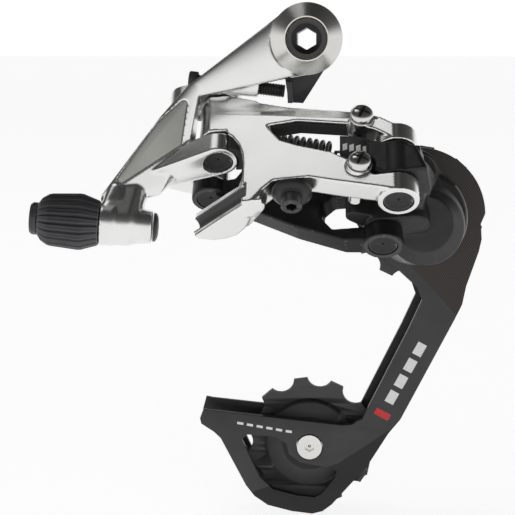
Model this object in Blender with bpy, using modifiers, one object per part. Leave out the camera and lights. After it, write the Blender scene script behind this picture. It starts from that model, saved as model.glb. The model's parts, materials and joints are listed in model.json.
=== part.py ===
"""Rear bicycle derailleur: a slant parallelogram between two knuckles, with a two-pulley cage.

World frame: the origin is on the hanger bolt's axis, on the outer face of the frame's hanger.
+X points to the front of the bike, +Y inboard towards the wheel and +Z up.
All sizes below are in millimetres and become metres when a mesh is made.
"""

from math import acos, atan2, cos, hypot, pi, radians, sin

import bmesh
import bpy
from mathutils import Matrix, Vector

MM = 0.001
GAP = 0.3  # between parts that touch

# Pivot-parallel frame: the four parallelogram pins point up and inboard, 45 degrees from level.
SLANT = radians(45)

# Parallelogram, seen along the pins: (x, q), where q runs outboard and up.
PIN_A = (-25.5, -11.2)  # outer link on the B-knuckle
PIN_B = (25.8, -1.8)  # outer link on the P-knuckle
LINK_OFFSET = (-3.4, -19.2)  # from an outer link pin to the inner link pin on the same knuckle
PIN_D = (PIN_A[0] + LINK_OFFSET[0], PIN_A[1] + LINK_OFFSET[1])
PIN_C = (PIN_B[0] + LINK_OFFSET[0], PIN_B[1] + LINK_OFFSET[1])
LINK_LENGTH = hypot(PIN_B[0] - PIN_A[0], PIN_B[1] - PIN_A[1])
LINK_ANGLE = atan2(PIN_B[1] - PIN_A[1], PIN_B[0] - PIN_A[0])

# Levels along the pins (p runs inboard and up) of the forks and of the eyes between them
A_FORK = (-39.0, -32.6, -17.2, -11.0)  # lower ear bottom and top, upper ear bottom and top
B_FORK = (-61.0, -54.9, -42.7, -37.0)
C_FORK = (-62.0, -56.9, -44.9, -40.0)
D_FORK = (-38.0, -33.6, -20.4, -16.0)
BOSS_R = 5.8
PIN_HEAD_R = 4.2
PIN_R = 3.0
BUSH_R = 4.0

# Pulley cage
PITCH_R = 22.54  # 11 teeth on a half-inch chain pitch
TEETH = 11
TIP_R = 21.2
ROLLER_R = 4.2
UPPER = (34.3, -53.8)
LOWER = (1.5, -128.6)
PULLEY_Y = 10.0
OUTER_PLATE_Y = (3.4, 5.6)
INNER_PLATE_Y = (14.4, 16.2)

AXLE_R = 4.5

# Hanger pivot
RING_R = 10.5
STOP_PLATE_R = 9.6
BOLT_HEX = 5.6

# Cable adjuster, on an axis in the plane of the parallelogram at this level
ADJUSTER_P = -56.0
ADJUSTER_START = (-79.3, -16.5)
ADJUSTER_END = (-44.0, -20.5)

SIDE = Matrix.Rotation(radians(90), 4, "X")  # local x, y, z = world X, Z, -Y
PIVOT = Matrix.Rotation(radians(90) + SLANT, 4, "X")  # local x, y, z = X, q, -p


def world(x, p, q):
    """Point at x, p along the pins and q across them, as world millimetres."""
    return Vector((x, p * cos(SLANT) - q * sin(SLANT), p * sin(SLANT) + q * cos(SLANT)))


def face_frame(pin):
    """Frame of a link: local x, y, z = along the link from its pin, along the pins, outboard."""
    origin = Matrix.Translation(world(pin[0], 0, pin[1]) * MM)
    return origin @ Matrix.Rotation(SLANT, 4, "X") @ Matrix.Rotation(-LINK_ANGLE, 4, "Y")


OUTER_FACE = face_frame(PIN_A)
INNER_FACE = face_frame(PIN_D)
OUTER_PIVOT = OUTER_FACE @ Matrix.Rotation(radians(90), 4, "X")  # along the link, outboard, -p
INNER_PIVOT = INNER_FACE @ Matrix.Rotation(radians(90), 4, "X")


def along(start, end):
    """Frame at start (world millimetres) with local z towards end."""
    direction = (Vector(end) - Vector(start)).normalized()
    turn = direction.to_track_quat("Z", "Y").to_matrix().to_4x4()
    return Matrix.Translation(Vector(start) * MM) @ turn


# ---------------------------------------------------------------- scene and materials

for old in list(bpy.data.objects):
    bpy.data.objects.remove(old, do_unlink=True)

PARTS = bpy.data.collections.new("rear_derailleur")
bpy.context.scene.collection.children.link(PARTS)


def material(name, colour, metallic, roughness):
    made = bpy.data.materials.new(name)
    made.use_nodes = True
    shader = made.node_tree.nodes["Principled BSDF"]
    shader.inputs["Base Color"].default_value = (*colour, 1.0)
    shader.inputs["Metallic"].default_value = metallic
    shader.inputs["Roughness"].default_value = roughness
    return made


SILVER = material("satin_aluminium", (0.80, 0.80, 0.79), 1.0, 0.28)
STEEL = material("plated_steel", (0.70, 0.70, 0.68), 1.0, 0.22)
BLACK = material("black_anodised", (0.035, 0.035, 0.037), 0.6, 0.38)
BLACK_STEEL = material("black_steel", (0.03, 0.03, 0.03), 0.8, 0.35)
PLASTIC = material("grey_black_polymer", (0.06, 0.06, 0.065), 0.0, 0.5)
CARBON = material("carbon_face", (0.075, 0.075, 0.08), 0.1, 0.32)
RUBBER = material("seal_rubber", (0.02, 0.02, 0.02), 0.0, 0.7)
BRONZE = material("bush_bronze", (0.50, 0.36, 0.20), 1.0, 0.40)


# ---------------------------------------------------------------- modelling helpers

ROUND = 18  # sides of a small round shape
LARGE = 28  # sides of a large one
HULL_SIDES = 12


def new_object(name, data, frame=None):
    obj = bpy.data.objects.new(name, data)
    PARTS.objects.link(obj)
    if frame is not None:
        obj.matrix_world = frame
    return obj


def flattened(obj):
    """Replace an object by its evaluated mesh, welded, with its place kept."""
    bpy.context.view_layer.update()
    mesh = bpy.data.meshes.new_from_object(obj.evaluated_get(bpy.context.evaluated_depsgraph_get()))
    work = bmesh.new()
    work.from_mesh(mesh)
    bmesh.ops.remove_doubles(work, verts=work.verts, dist=1e-6)
    bmesh.ops.recalc_face_normals(work, faces=work.faces)
    work.to_mesh(mesh)
    work.free()
    name, frame = obj.name, obj.matrix_world.copy()
    bpy.data.objects.remove(obj, do_unlink=True)
    return new_object(name, mesh, frame)


def plate(name, outline, frame, low, high, holes=()):
    """Solid between two levels of a frame's z, from a closed outline and any holes in it."""
    curve = bpy.data.curves.new(name, "CURVE")
    curve.dimensions = "2D"
    curve.fill_mode = "BOTH"
    curve.extrude = (high - low) / 2 * MM
    for points in (outline, *holes):
        spline = curve.splines.new("POLY")
        spline.points.add(len(points) - 1)
        for point, (x, y) in zip(spline.points, points):
            point.co = (x * MM, y * MM, 0, 1)
        spline.use_cyclic_u = True
    middle = Matrix.Translation((0, 0, (high + low) / 2 * MM))
    return flattened(new_object(name, curve, frame @ middle))


def rod(name, frame, centre, radius, low, high, sides=ROUND, top_radius=None):
    """Cylinder or cone about a frame's z through centre."""
    work = bmesh.new()
    middle = Matrix.Translation((centre[0] * MM, centre[1] * MM, (high + low) / 2 * MM))
    bmesh.ops.create_cone(
        work,
        cap_ends=True,
        segments=sides,
        radius1=radius * MM,
        radius2=(radius if top_radius is None else top_radius) * MM,
        depth=(high - low) * MM,
        matrix=middle,
    )
    mesh = bpy.data.meshes.new(name)
    work.to_mesh(mesh)
    work.free()
    return new_object(name, mesh, frame)


def turned(name, profile, frame, centre=(0, 0), steps=ROUND):
    """Ring or solid of revolution about a frame's z: profile is a closed loop of (radius, z)."""
    mesh = bpy.data.meshes.new(name)
    points = [(r * MM, 0, z * MM) for r, z in profile]
    edges = [(i, (i + 1) % len(points)) for i in range(len(points))]
    mesh.from_pydata(points, edges, [])
    obj = new_object(name, mesh, frame @ Matrix.Translation((centre[0] * MM, centre[1] * MM, 0)))
    screw = obj.modifiers.new("turn", "SCREW")
    screw.axis = "Z"
    screw.angle = 2 * pi
    screw.steps = steps
    screw.render_steps = steps
    screw.use_merge_vertices = True
    screw.merge_threshold = 1e-6
    return flattened(obj)


def ring(name, frame, centre, inner, outer, low, high, steps=ROUND):
    profile = [(outer, high), (outer, low), (inner, low), (inner, high)]
    return turned(name, profile, frame, centre, steps)


def hull(name, discs, sides=HULL_SIDES):
    """Convex body round discs, each given as (frame, centre, radius, level)."""
    work = bmesh.new()
    for frame, centre, radius, level in discs:
        for k in range(sides):
            angle = 2 * pi * k / sides
            x = centre[0] + radius * cos(angle)
            y = centre[1] + radius * sin(angle)
            work.verts.new(frame @ Vector((x * MM, y * MM, level * MM)))
    bmesh.ops.remove_doubles(work, verts=work.verts, dist=1e-6)
    bmesh.ops.convex_hull(work, input=work.verts)
    inside = [vertex for vertex in work.verts if not vertex.link_faces]
    bmesh.ops.delete(work, geom=inside, context="VERTS")
    mesh = bpy.data.meshes.new(name)
    work.to_mesh(mesh)
    work.free()
    return new_object(name, mesh)


def boolean(target, tool, operation):
    name = target.name
    change = target.modifiers.new("boolean", "BOOLEAN")
    change.operation = operation
    change.solver = "EXACT"
    change.object = tool
    made = flattened(target)
    bpy.data.objects.remove(tool, do_unlink=True)
    made.name = name
    return made


def unite(target, *tools):
    for tool in tools:
        target = boolean(target, tool, "UNION")
    return target


def cut(target, *tools):
    for tool in tools:
        target = boolean(target, tool, "DIFFERENCE")
    return target


def finish(obj, shade, origin=None, smooth=30):
    """Give a finished part its material and shading, and its origin on its joint's axis."""
    obj.data.materials.clear()
    obj.data.materials.append(shade)
    obj.data.shade_smooth()
    obj.data.set_sharp_from_angle(angle=radians(smooth))
    if origin is not None:
        place = Matrix.Translation(Vector(origin) * MM)
        obj.data.transform(place.inverted() @ obj.matrix_world)
        obj.matrix_world = place
    return obj


def arc(centre, radius, start, end, count):
    """Points on a circle from start to end, in degrees."""
    step = (end - start) / (count - 1)
    angles = [radians(start + step * k) for k in range(count)]
    return [(centre[0] + radius * cos(a), centre[1] + radius * sin(a)) for a in angles]


def circle(centre, radius, count=ROUND):
    return arc(centre, radius, 0, 360 - 360 / count, count)


def hexagon(across_flats, centre=(0, 0)):
    """Hexagon with a corner straight up."""
    return arc(centre, across_flats / 2 / cos(pi / 6), 90, 390, 6)


def wire(name, points, radius):
    """Round wire through world points."""
    curve = bpy.data.curves.new(name, "CURVE")
    curve.dimensions = "3D"
    curve.bevel_depth = radius * MM
    curve.bevel_resolution = 1
    curve.use_fill_caps = True
    spline = curve.splines.new("POLY")
    spline.points.add(len(points) - 1)
    for point, co in zip(spline.points, points):
        point.co = (*(Vector(co) * MM), 1)
    return flattened(new_object(name, curve))


def coil(start, end, radius, turns, per_turn):
    """Points of a helix from start to end, world millimetres."""
    frame = along(start, end)
    length = (Vector(end) - Vector(start)).length
    count = int(turns * per_turn)
    points = []
    for k in range(count + 1):
        angle = 2 * pi * k / per_turn
        local = Vector((radius * cos(angle), radius * sin(angle), length * k / count)) * MM
        points.append((frame @ local) / MM)
    return points


# ---------------------------------------------------------------- hanger bolt and stop plate


def hanger_parts():
    bolt = turned(
        "hanger_bolt",
        [(5.7, 15.4), (5.7, 12.3), (4.8, 12.3), (4.8, -8.4), (4.2, -9.2)]
        + [(2.5, -9.2), (2.5, 13.2), (4.4, 13.8), (4.4, 15.4)],
        SIDE,
    )
    bolt = cut(bolt, plate("hex", hexagon(BOLT_HEX), SIDE, -10, 14))
    finish(bolt, BLACK_STEEL)

    head = [(RING_R, 13.3), (RING_R, 12.6), (6.0, 12.6), (6.0, 16.6), (6.4, 16.6)]
    finish(turned("bolt_head_ring", head, SIDE, steps=LARGE), SILVER)
    finish(ring("hanger_bolt_bush", SIDE, (0, 0), 5.1, 6.0, 2.6, 12.0), BRONZE)

    tab = [(-6.6, -11.0), (-5.4, -18.9), (-1.0, -19.1)]
    washer = arc((0, 0), STOP_PLATE_R, -45, 225, ROUND)
    stop = plate("stop_plate", washer + tab, SIDE, 0, 2.1, [circle((0, 0), 5.2)])
    lug = plate("lug", [(-5.8, -12.6), (-4.2, -12.6), (-4.0, -18.7), (-5.4, -18.7)], SIDE, 1.5, 12.6)
    tooth = plate("tooth", [(-3.2, -18.7), (-1.2, -18.8), (-1.2, -15.6), (-3.2, -15.6)], SIDE, -2.5, 1.0)
    finish(unite(stop, lug, tooth), BLACK)


# ---------------------------------------------------------------- B-knuckle

SCREW_START = (-34.8, -10.0, -11.9)
SCREW_END = (-6.2, -10.0, -15.3)
B_SCREW_AXIS = along(SCREW_START, SCREW_END)
B_SCREW_R = 2.0
SLEEVE_R = 3.0
ADJUSTER = along(*(world(x, ADJUSTER_P, q) for x, q in (ADJUSTER_START, ADJUSTER_END)))

WEB = [  # corners of the knuckle's body: x, z, corner radius and the two levels outboard
    (-33.2, -15.0, 2.0, 4, 16),
    (-41.3, -23.8, 1.8, 3, 18),
    (-57.0, -46.0, 2.5, 14, 24),
    (-44.0, -43.0, 2.5, 4, 21),
    (-37.5, -37.0, 2.0, -2, 17),
    (-35.5, -28.0, 2.0, 0, 17.5),
]
POCKET = [(-36.6, -19.5, 16.4), (-38.0, -30.0, 17.6), (-52.0, -41.0, 21.5), (-42.6, -26.0, 18.2)]
POCKET_DEPTH = 1.0


def pair(frame, centre, radius, low, high):
    """Two discs of a hull, at two levels of one frame."""
    return [(frame, centre, radius, low), (frame, centre, radius, high)]


def b_knuckle():
    boss = rod("b_knuckle", SIDE, (0, 0), 10.4, 2.4, 12.3, LARGE)
    arm = hull("arm", pair(SIDE, (0, 0), 10.3, 3.4, 12.2) + pair(SIDE, (-33.2, -15.0), 2.0, 4, 16), 24)
    web = hull("web", [disc for x, z, r, low, high in WEB for disc in pair(SIDE, (x, z), r, low, high)], 8)
    upper_ear = hull(
        "upper_ear",
        pair(PIVOT, PIN_A, BOSS_R, -A_FORK[3], -A_FORK[2]) + pair(PIVOT, (-36.5, -13.5), 5.0, 11.0, 17.2),
    )
    strut = hull(
        "strut",
        pair(PIVOT, PIN_A, BOSS_R, -A_FORK[1], -A_FORK[0]) + pair(PIVOT, (-52.0, -17.5), 4.5, 36.5, 43.0),
    )
    inner_ear = hull(
        "inner_ear",
        pair(PIVOT, PIN_D, 5.5, 20.9, 33.1) + pair(PIVOT, (-39.0, -27.0), 5.0, 20.9, 33.1),
    )
    tube = rod("tube", ADJUSTER, (0, 0), 6.1, 20.1, 23.5)
    cone = rod("cone", ADJUSTER, (0, 0), 6.0, 22.5, 35.2, top_radius=4.6)
    neck = hull("neck", pair(ADJUSTER, (0, 0), 5.5, 20.3, 27.0) + pair(SIDE, (-55.0, -45.0), 3.2, 15, 24))
    screw_housing = rod("screw_housing", B_SCREW_AXIS, (0, 0), 2.9, 6.0, 21.0, 16)
    knuckle = unite(boss, arm, web, upper_ear, strut, inner_ear, tube, cone, neck, screw_housing)

    pocket = hull(
        "pocket",
        [disc for x, z, face in POCKET for disc in pair(SIDE, (x, z), 1.2, face - POCKET_DEPTH, face + 8)],
        8,
    )
    knuckle = cut(
        knuckle,
        pocket,
        rod("bore", SIDE, (0, 0), 6.3, 1, 14, 24),
        rod("ring_room", SIDE, (0, 0), RING_R + 0.4, 12.3, 20, LARGE),
        rod("a_head", PIVOT, PIN_A, PIN_HEAD_R + GAP, 36.4, 42),
        rod("a_hole", PIVOT, PIN_A, PIN_R + GAP, 12.5, 40),
        rod("d_hole", PIVOT, PIN_D, BUSH_R + GAP, 19, 35),
        rod("b_screw_hole", B_SCREW_AXIS, (0, 0), B_SCREW_R + GAP, -1, 24, 12),
        rod("head_seat", B_SCREW_AXIS, (0, 0), 3.0, -4, 3.2, 16),
        rod("sleeve_hole", ADJUSTER, (0, 0), SLEEVE_R + GAP, 18, 27.0, 16),
        rod("cable_hole", ADJUSTER, (0, 0), 1.5, 26, 38, 10),
        rod("link_room", PIVOT, PIN_A, 7.0, 17.3, 32.5),
    )
    finish(knuckle, SILVER)


PIN_HEAD = 1.9  # thickness of a pin's head
CHAMFER = 0.3
PIN_BORE_R = 0.6


def pin(name, centre, low, high):
    """Pivot pin: a headed shaft between two levels of p, head at the lower end."""
    profile = [
        (PIN_R, -high),
        (PIN_R, -low - PIN_HEAD),
        (PIN_HEAD_R, -low - PIN_HEAD),
        (PIN_HEAD_R, -low - CHAMFER),
        (PIN_HEAD_R - CHAMFER, -low),
        (PIN_BORE_R, -low),
        (PIN_BORE_R, -high),
    ]
    finish(turned(name, profile, PIVOT, centre), BLACK_STEEL, world(centre[0], 0, centre[1]))


def bush(name, centre, low, high):
    made = ring(name, PIVOT, centre, PIN_R + GAP, BUSH_R, -high, -low, 16)
    finish(made, BRONZE, world(centre[0], 0, centre[1]))


RIBS = 18  # grip ribs round the barrel adjuster
RIB_DEPTH = 0.955  # radius between two ribs, as a share of the radius on them


def cable_parts():
    barrel = turned(
        "barrel_adjuster",
        [(4.9, 2.3), (7.3, 4.9), (8.3, 14.9), (6.4, 19.8)]
        + [(3.4, 19.8), (3.4, 9.0), (2.8, 9.0), (2.8, 2.3)],
        ADJUSTER,
        steps=2 * RIBS,
    )
    for vertex in barrel.data.vertices:
        radius = hypot(vertex.co.x, vertex.co.y)
        step = round(atan2(vertex.co.y, vertex.co.x) / (pi / RIBS))
        if radius > 6 * MM and step % 2:
            vertex.co.x *= RIB_DEPTH
            vertex.co.y *= RIB_DEPTH
    finish(barrel, PLASTIC, (ADJUSTER.translation / MM), smooth=20)
    end_ring = turned(
        "adjuster_end_ring",
        [(4.7, 1.9), (4.7, 0.6), (4.3, 0.0), (2.9, 0.0), (2.9, 1.2), (1.4, 1.2), (1.4, 1.9)],
        ADJUSTER,
    )
    finish(end_ring, BLACK_STEEL, (ADJUSTER.translation / MM))
    finish(ring("adjuster_sleeve", ADJUSTER, (0, 0), 1.5, SLEEVE_R, 9.4, 26.6), STEEL)
    cap = [(4.2, 36.2), (4.2, 35.5), (1.5, 35.5), (1.5, 37.0), (3.0, 36.9)]
    finish(turned("cable_end_cap", cap, ADJUSTER), BLACK)


def b_screw():
    screw = rod("b_screw", B_SCREW_AXIS, (0, 0), B_SCREW_R, 2.2, 28.6, 16)
    head = rod("head", B_SCREW_AXIS, (0, 0), 2.6, 0, 2.6)
    socket = plate("socket", hexagon(2.0), B_SCREW_AXIS, -1, 1.4)
    finish(cut(unite(screw, head), socket), BLACK_STEEL, SCREW_START)


# ---------------------------------------------------------------- outer link

ANCHOR = (22.6, 2.0)  # along the link and outboard
HIGH_HEAD = (42.6, -51.1, 6.8)  # limit screws: along the link, along the pins and outboard
LOW_HEAD = (43.3, -34.1, 6.8)
SCREW_TILT = (-0.24, 0, -0.97)
LINK_FACE = 5.95  # outboard face of the link, from the pins' plane
FAR_END = (LINK_LENGTH, 0)
CABLE_GUIDE = [
    (-8.0, -7.7),
    (-6.8, -9.2),
    (-3.0, -10.5),
    (0.9, -10.4),
    (4.5, -9.2),
    (7.4, -6.6),
    (10.5, -1.0),
    (14.3, 1.0),
    (14.8, 5.6),
    (11.6, 5.8),
]
CABLE_GROOVE = [(-9.5, -8.1), (13.0, 7.4)]  # its ends, along the link and outboard
GROOVE_LEVEL = 55.4
OUTER_LINK = [  # along the link and along the pins
    (-2.0, -17.6),
    (4.2, -19.0),
    (20.4, -25.0),
    (37.5, -29.2),
    (45.7, -32.0),
    (LINK_LENGTH, B_FORK[3]),
    (LINK_LENGTH, B_FORK[2]),
    (46.5, -38.4),
    (40.4, -35.6),
    (24.3, -31.8),
    (15.4, -32.3),
    (19.5, -38.4),
    (24.4, -41.0),
    (34.5, -45.1),
    (39.3, -48.6),
    (46.5, B_FORK[1]),
    (LINK_LENGTH, B_FORK[1]),
    (LINK_LENGTH, B_FORK[0]),
    (34.0, -55.4),
    (28.0, -53.4),
    (18.0, -53.2),
    (15.0, -55.8),
    (11.6, -59.8),
    (9.0, -59.8),
    (9.0, -31.9),
    (-2.0, -31.9),
]


def link_point(x, p, n):
    return (OUTER_FACE @ (Vector((x, p, n)) * MM)) / MM


def limit_axis(head):
    return along(link_point(*head), link_point(*(a + b for a, b in zip(head, SCREW_TILT))))


HIGH_AXIS = limit_axis(HIGH_HEAD)
LOW_AXIS = limit_axis(LOW_HEAD)


def outer_link():
    body = plate("outer_link", OUTER_LINK, OUTER_FACE, -1.2, LINK_FACE)
    block = hull(
        "block",
        pair(OUTER_PIVOT, (0, 0), BOSS_R, 17.6, 32.3) + pair(OUTER_PIVOT, (9, 1.6), 4.1, 21.0, 32.3),
        20,
    )
    lower_boss = rod("lower_boss", OUTER_PIVOT, FAR_END, BOSS_R, -B_FORK[1], -B_FORK[0], 24)
    upper_boss = rod("upper_boss", OUTER_PIVOT, FAR_END, BOSS_R, -B_FORK[2], -B_FORK[3], 24)
    guide = plate("guide", CABLE_GUIDE, OUTER_PIVOT, 51.0, 59.6)
    high_boss = rod("high_boss", HIGH_AXIS, (0, 0), 3.7, 0, 7.0, 16)
    low_boss = rod("low_boss", LOW_AXIS, (0, 0), 3.3, 0, 6.5, 16)
    link = unite(body, block, lower_boss, upper_boss, guide, high_boss, low_boss)

    groove_start, groove_end = (link_point(x, -GROOVE_LEVEL, n) for x, n in CABLE_GROOVE)
    link = cut(
        link,
        rod("groove", along(groove_start, groove_end), (0, 0), 2.2, -1, 30, 10),
        rod("a_hole", OUTER_PIVOT, (0, 0), BUSH_R + GAP, 15, 34),
        rod("b_hole", OUTER_PIVOT, FAR_END, PIN_R + GAP, 35, 62, 16),
        rod("b_head", OUTER_PIVOT, FAR_END, PIN_HEAD_R + GAP, 58.4, 63),
        rod("anchor_hole", OUTER_PIVOT, ANCHOR, 2.8, 45.5, 55, 12),
        rod("high_hole", HIGH_AXIS, (0, 0), 2.2, -1, 12, 12),
        rod("low_hole", LOW_AXIS, (0, 0), 2.2, -1, 12, 12),
    )
    finish(link, SILVER, world(PIN_A[0], 0, PIN_A[1]))


def anchor_parts():
    bolt = turned(
        "cable_anchor_bolt",
        [(3.0, 60.4), (3.0, 57.2), (2.5, 57.2), (2.5, 46.0), (0.8, 46.0), (0.8, 60.4)],
        OUTER_PIVOT,
        ANCHOR,
        16,
    )
    bolt = cut(bolt, plate("socket", hexagon(2.9, ANCHOR), OUTER_PIVOT, 57.8, 61))
    finish(bolt, BLACK_STEEL)
    washer = turned(
        "cable_clamp_washer",
        [(4.4, 56.9), (5.7, 55.8), (5.7, 54.7), (4.4, 53.6), (2.8, 53.6), (2.8, 56.9)],
        OUTER_PIVOT,
        ANCHOR,
    )
    finish(washer, BLACK)


SCREW_HEAD = [(1.9, -0.1), (3.4, -0.35), (3.3, -1.2), (2.6, -2.0), (1.5, -2.5), (0.4, -2.6)]


def limit_screw(name, axis, length):
    """Domed cross-head screw with its head's underside at the start of its axis."""
    screw = turned(name, [(1.9, length), *SCREW_HEAD, (0.4, length)], axis, steps=12)
    across = plate("across", [(-1.7, -0.4), (1.7, -0.4), (1.7, 0.4), (-1.7, 0.4)], axis, -3.2, -1.3)
    upright = plate("upright", [(-0.4, -1.7), (0.4, -1.7), (0.4, 1.7), (-0.4, 1.7)], axis, -3.2, -1.3)
    finish(cut(screw, across, upright), STEEL, axis.translation / MM)


# ---------------------------------------------------------------- inner link

INNER_LINK = [  # along the link and along the pins
    (0, D_FORK[3]),
    (22.0, -27.0),
    (LINK_LENGTH, C_FORK[3]),
    (LINK_LENGTH, C_FORK[2]),
    (38.0, -44.4),
    (34.8, -47.2),
    (34.8, -52.0),
    (38.0, -56.4),
    (LINK_LENGTH, C_FORK[1]),
    (LINK_LENGTH, C_FORK[0]),
    (41.0, -60.6),
    (27.0, -54.0),
    (12.0, -45.0),
    (0, D_FORK[0]),
    (0, D_FORK[1]),
    (8.0, -33.4),
    (10.0, -30.5),
    (10.0, -24.0),
    (8.0, -20.7),
    (0, D_FORK[2]),
]


def inner_link():
    body = plate("inner_link", INNER_LINK, INNER_FACE, -3.5, 3.5)
    bosses = []
    for centre, fork in (((0, 0), D_FORK), (FAR_END, C_FORK)):
        for low, high in ((fork[0], fork[1]), (fork[2], fork[3])):
            bosses.append(rod("boss", INNER_PIVOT, centre, BOSS_R, -high, -low))
    link = cut(
        unite(body, *bosses),
        rod("d_hole", INNER_PIVOT, (0, 0), PIN_R + GAP, 15, 39, 16),
        rod("d_head", INNER_PIVOT, (0, 0), PIN_HEAD_R + GAP, 35.4, 40),
        rod("c_hole", INNER_PIVOT, FAR_END, PIN_R + GAP, 38, 63, 16),
        rod("c_head", INNER_PIVOT, FAR_END, PIN_HEAD_R + GAP, 59.4, 64),
    )
    finish(link, BLACK, world(PIN_D[0], 0, PIN_D[1]))


# ---------------------------------------------------------------- P-knuckle

EYE_LEVELS = (-B_FORK[2] + 0.6, -B_FORK[1] - 0.6)  # the knuckle's eye on pin B, as -p
BOX_ACROSS = [(12, -4), (12, 4), (31.4, 4), (33.5, -3), (33.5, -13), (24.8, -13), (20, -9), (15, -6.4)]
BOX_FACE = [  # the box between the outer link's arms: along the link and along the pins
    (34.0, -36.6),
    (41.0, -37.6),
    (46.5, -40.2),
    (50.0, -43.3),
    (61.0, -43.3),
    (61.0, -54.3),
    (50.5, -53.4),
    (46.2, -51.3),
    (39.3, -47.3),
    (34.0, -45.0),
]
COVER_FACE = [(36.6, -38.2), (41.6, -39.2), (45.2, -41.0), (45.2, -50.2), (40.0, -47.0), (36.6, -45.4)]
HIGH_STOP = (13.8, -16.4)  # lug that the high limit screw meets
ARM_ROOM_R = 6.2  # room for the links' arms round pins B and C


def p_knuckle():
    bell = hull("p_knuckle", pair(SIDE, UPPER, 15.0, -1.6, 1.0) + [(SIDE, (34.0, -51.0), 8.6, 24.0)], 28)
    corners = [(x, q) for x in (25.8, 33.2) for q in (-13.0, -10.3)]
    shoulder = hull(
        "shoulder",
        pair(SIDE, (33.0, -40.6), 7.2, -1.4, 2.8)
        + [disc for corner in corners for disc in pair(PIVOT, corner, 0.3, 43.4, 54.2)],
    )
    crown = hull(
        "crown",
        pair(SIDE, (33.0, -40.5), 7.5, -1.6, 3.0) + pair(SIDE, UPPER, 14.7, -1.5, 0.9),
        24,
    )
    box = plate("box", BOX_ACROSS, PIVOT, 36, 56)
    box = boolean(box, plate("seen", BOX_FACE, OUTER_FACE, -20, 2.6), "INTERSECT")
    b_eye = rod("b_eye", PIVOT, PIN_B, BOSS_R, *EYE_LEVELS)
    c_eye = hull("c_eye", pair(PIVOT, PIN_C, 5.6, 45.5, 56.3) + pair(PIVOT, (31.0, -20.0), 5.0, 46.5, 55.5))
    lug = hull(
        "lug",
        pair(PIVOT, HIGH_STOP, 2.2, 47.2, 55.0) + pair(PIVOT, (21.0, -20.0), 3.5, 47.2, 55.0),
        10,
    )
    knuckle = unite(bell, crown, shoulder, box, b_eye, c_eye, lug)
    knuckle = cut(
        knuckle,
        rod("c_low_room", PIVOT, PIN_C, ARM_ROOM_R, 56.6, 68),
        rod("c_high_room", PIVOT, PIN_C, ARM_ROOM_R, 34, 45.2),
        rod("b_low_room", PIVOT, PIN_B, ARM_ROOM_R, 54.6, 68),
        rod("b_high_room", PIVOT, PIN_B, ARM_ROOM_R, 30, 43.0),
        rod("b_hole", PIVOT, PIN_B, BUSH_R + GAP, 40, 58),
        rod("c_hole", PIVOT, PIN_C, BUSH_R + GAP, 43, 59),
        rod("high_screw_room", HIGH_AXIS, (0, 0), 4.4, -6, 9, 16),
        rod("spring_room", SIDE, UPPER, 9.4, -3, 11.5, 28),
        rod("axle_hole", SIDE, UPPER, 5.4, 10, 19.5),
    )
    finish(knuckle, BLACK, world(PIN_B[0], 0, PIN_B[1]))


def p_knuckle_trim():
    cover = plate("p_knuckle_cover", COVER_FACE, OUTER_FACE, 2.9, 4.2)
    cover = cut(cover, rod("high_screw_room", HIGH_AXIS, (0, 0), 4.4, -6, 9, 16))
    finish(cover, BLACK, world(PIN_B[0], 0, PIN_B[1]))
    finish(ring("cage_pivot_bush", SIDE, UPPER, AXLE_R + GAP, 5.1, 12.0, 19.2), BRONZE)
    finish(ring("cage_pivot_seal", SIDE, UPPER, 9.8, 11.4, -2.6, -1.9, 24), RUBBER)
    points = coil((UPPER[0], -10.6, UPPER[1]), (UPPER[0], 0.4, UPPER[1]), 7.6, 5, 8)
    finish(wire("cage_torsion_spring", points, 0.85), STEEL)


def return_spring():
    hook_start = [world(-24.0, -17.9, -18.2), world(-18.5, -21.5, -18.6)]
    turns = coil(world(-13.0, -26.0, -16.6), world(8.0, -33.5, -13.2), 2.7, 9, 6)
    hook_end = [world(11.0, -36.5, -9.6)]
    finish(wire("return_spring", hook_start + turns + hook_end, 0.55), BLACK_STEEL)


# ---------------------------------------------------------------- pulley cage

CAGE_ORIGIN = (UPPER[0], OUTER_PLATE_Y[0], UPPER[1])
WINDOW = [
    (-20.2, -126.4),
    (-18.3, -124.7),
    (-9.3, -125.3),
    (-5.8, -127.5),
    (-5.0, -131.0),
    (-1.5, -133.6),
    (1.9, -134.3),
    (8.8, -135.3),
    (10.3, -136.6),
    (9.7, -138.9),
    (5.4, -144.3),
    (3.3, -145.5),
    (-2.3, -144.9),
    (-10.1, -142.8),
    (-14.4, -138.8),
]
CHAIN_TAB = [(17.6, -133.6), (21.4, -135.6), (20.4, -140.6), (16.4, -142.4), (13.6, -139.4)]
SOCKET = 2.9  # across flats, of the pulley bolts


def cage_outline(inset=0.0):
    """Outline of a cage plate: round over the upper pulley, one arm, and a foot round the lower."""
    crown = arc(UPPER, 21.0 - 2 * inset, 104, 2, 12)
    flank = arc(UPPER, 17.0, 216, 128, 7)
    arm_front = [(18.2, -119.2), (32.2, -90.1), (36.4, -80.5), (35.0, -76.6)]
    return (
        [(x - inset, z) for x, z in arm_front]
        + [(29.5, -71.6)]
        + flank
        + crown
        + [(54.0, -56.3), (54.4, -61.1), (53.6, -65.0), (50.0, -75.9), (48.9, -81.7), (46.6, -86.6)]
        + [(30.3, -119.1), (26.6, -123.7), (20.1, -134.7), (8.9, -147.8), (5.9, -150.2), (2.5, -151.1)]
        + [(-4.0, -150.3), (-11.8, -148.2), (-16.1, -145.1), (-18.8, -141.6), (-26.9, -126.0)]
        + [(-29.1, -123.9), (-33.1, -121.3), (-33.5, -119.5), (-32.4, -116.6 + inset)]
        + [(-30.3, -117.0 + inset), (12.1, -121.3 + inset), (15.0, -121.0 + inset), (16.7 - inset, -119.8)]
    )


def side_plate(name, outline, low, high, holes=()):
    """Plate between two world Y levels."""
    return plate(name, outline, SIDE, -high, -low, holes)


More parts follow.
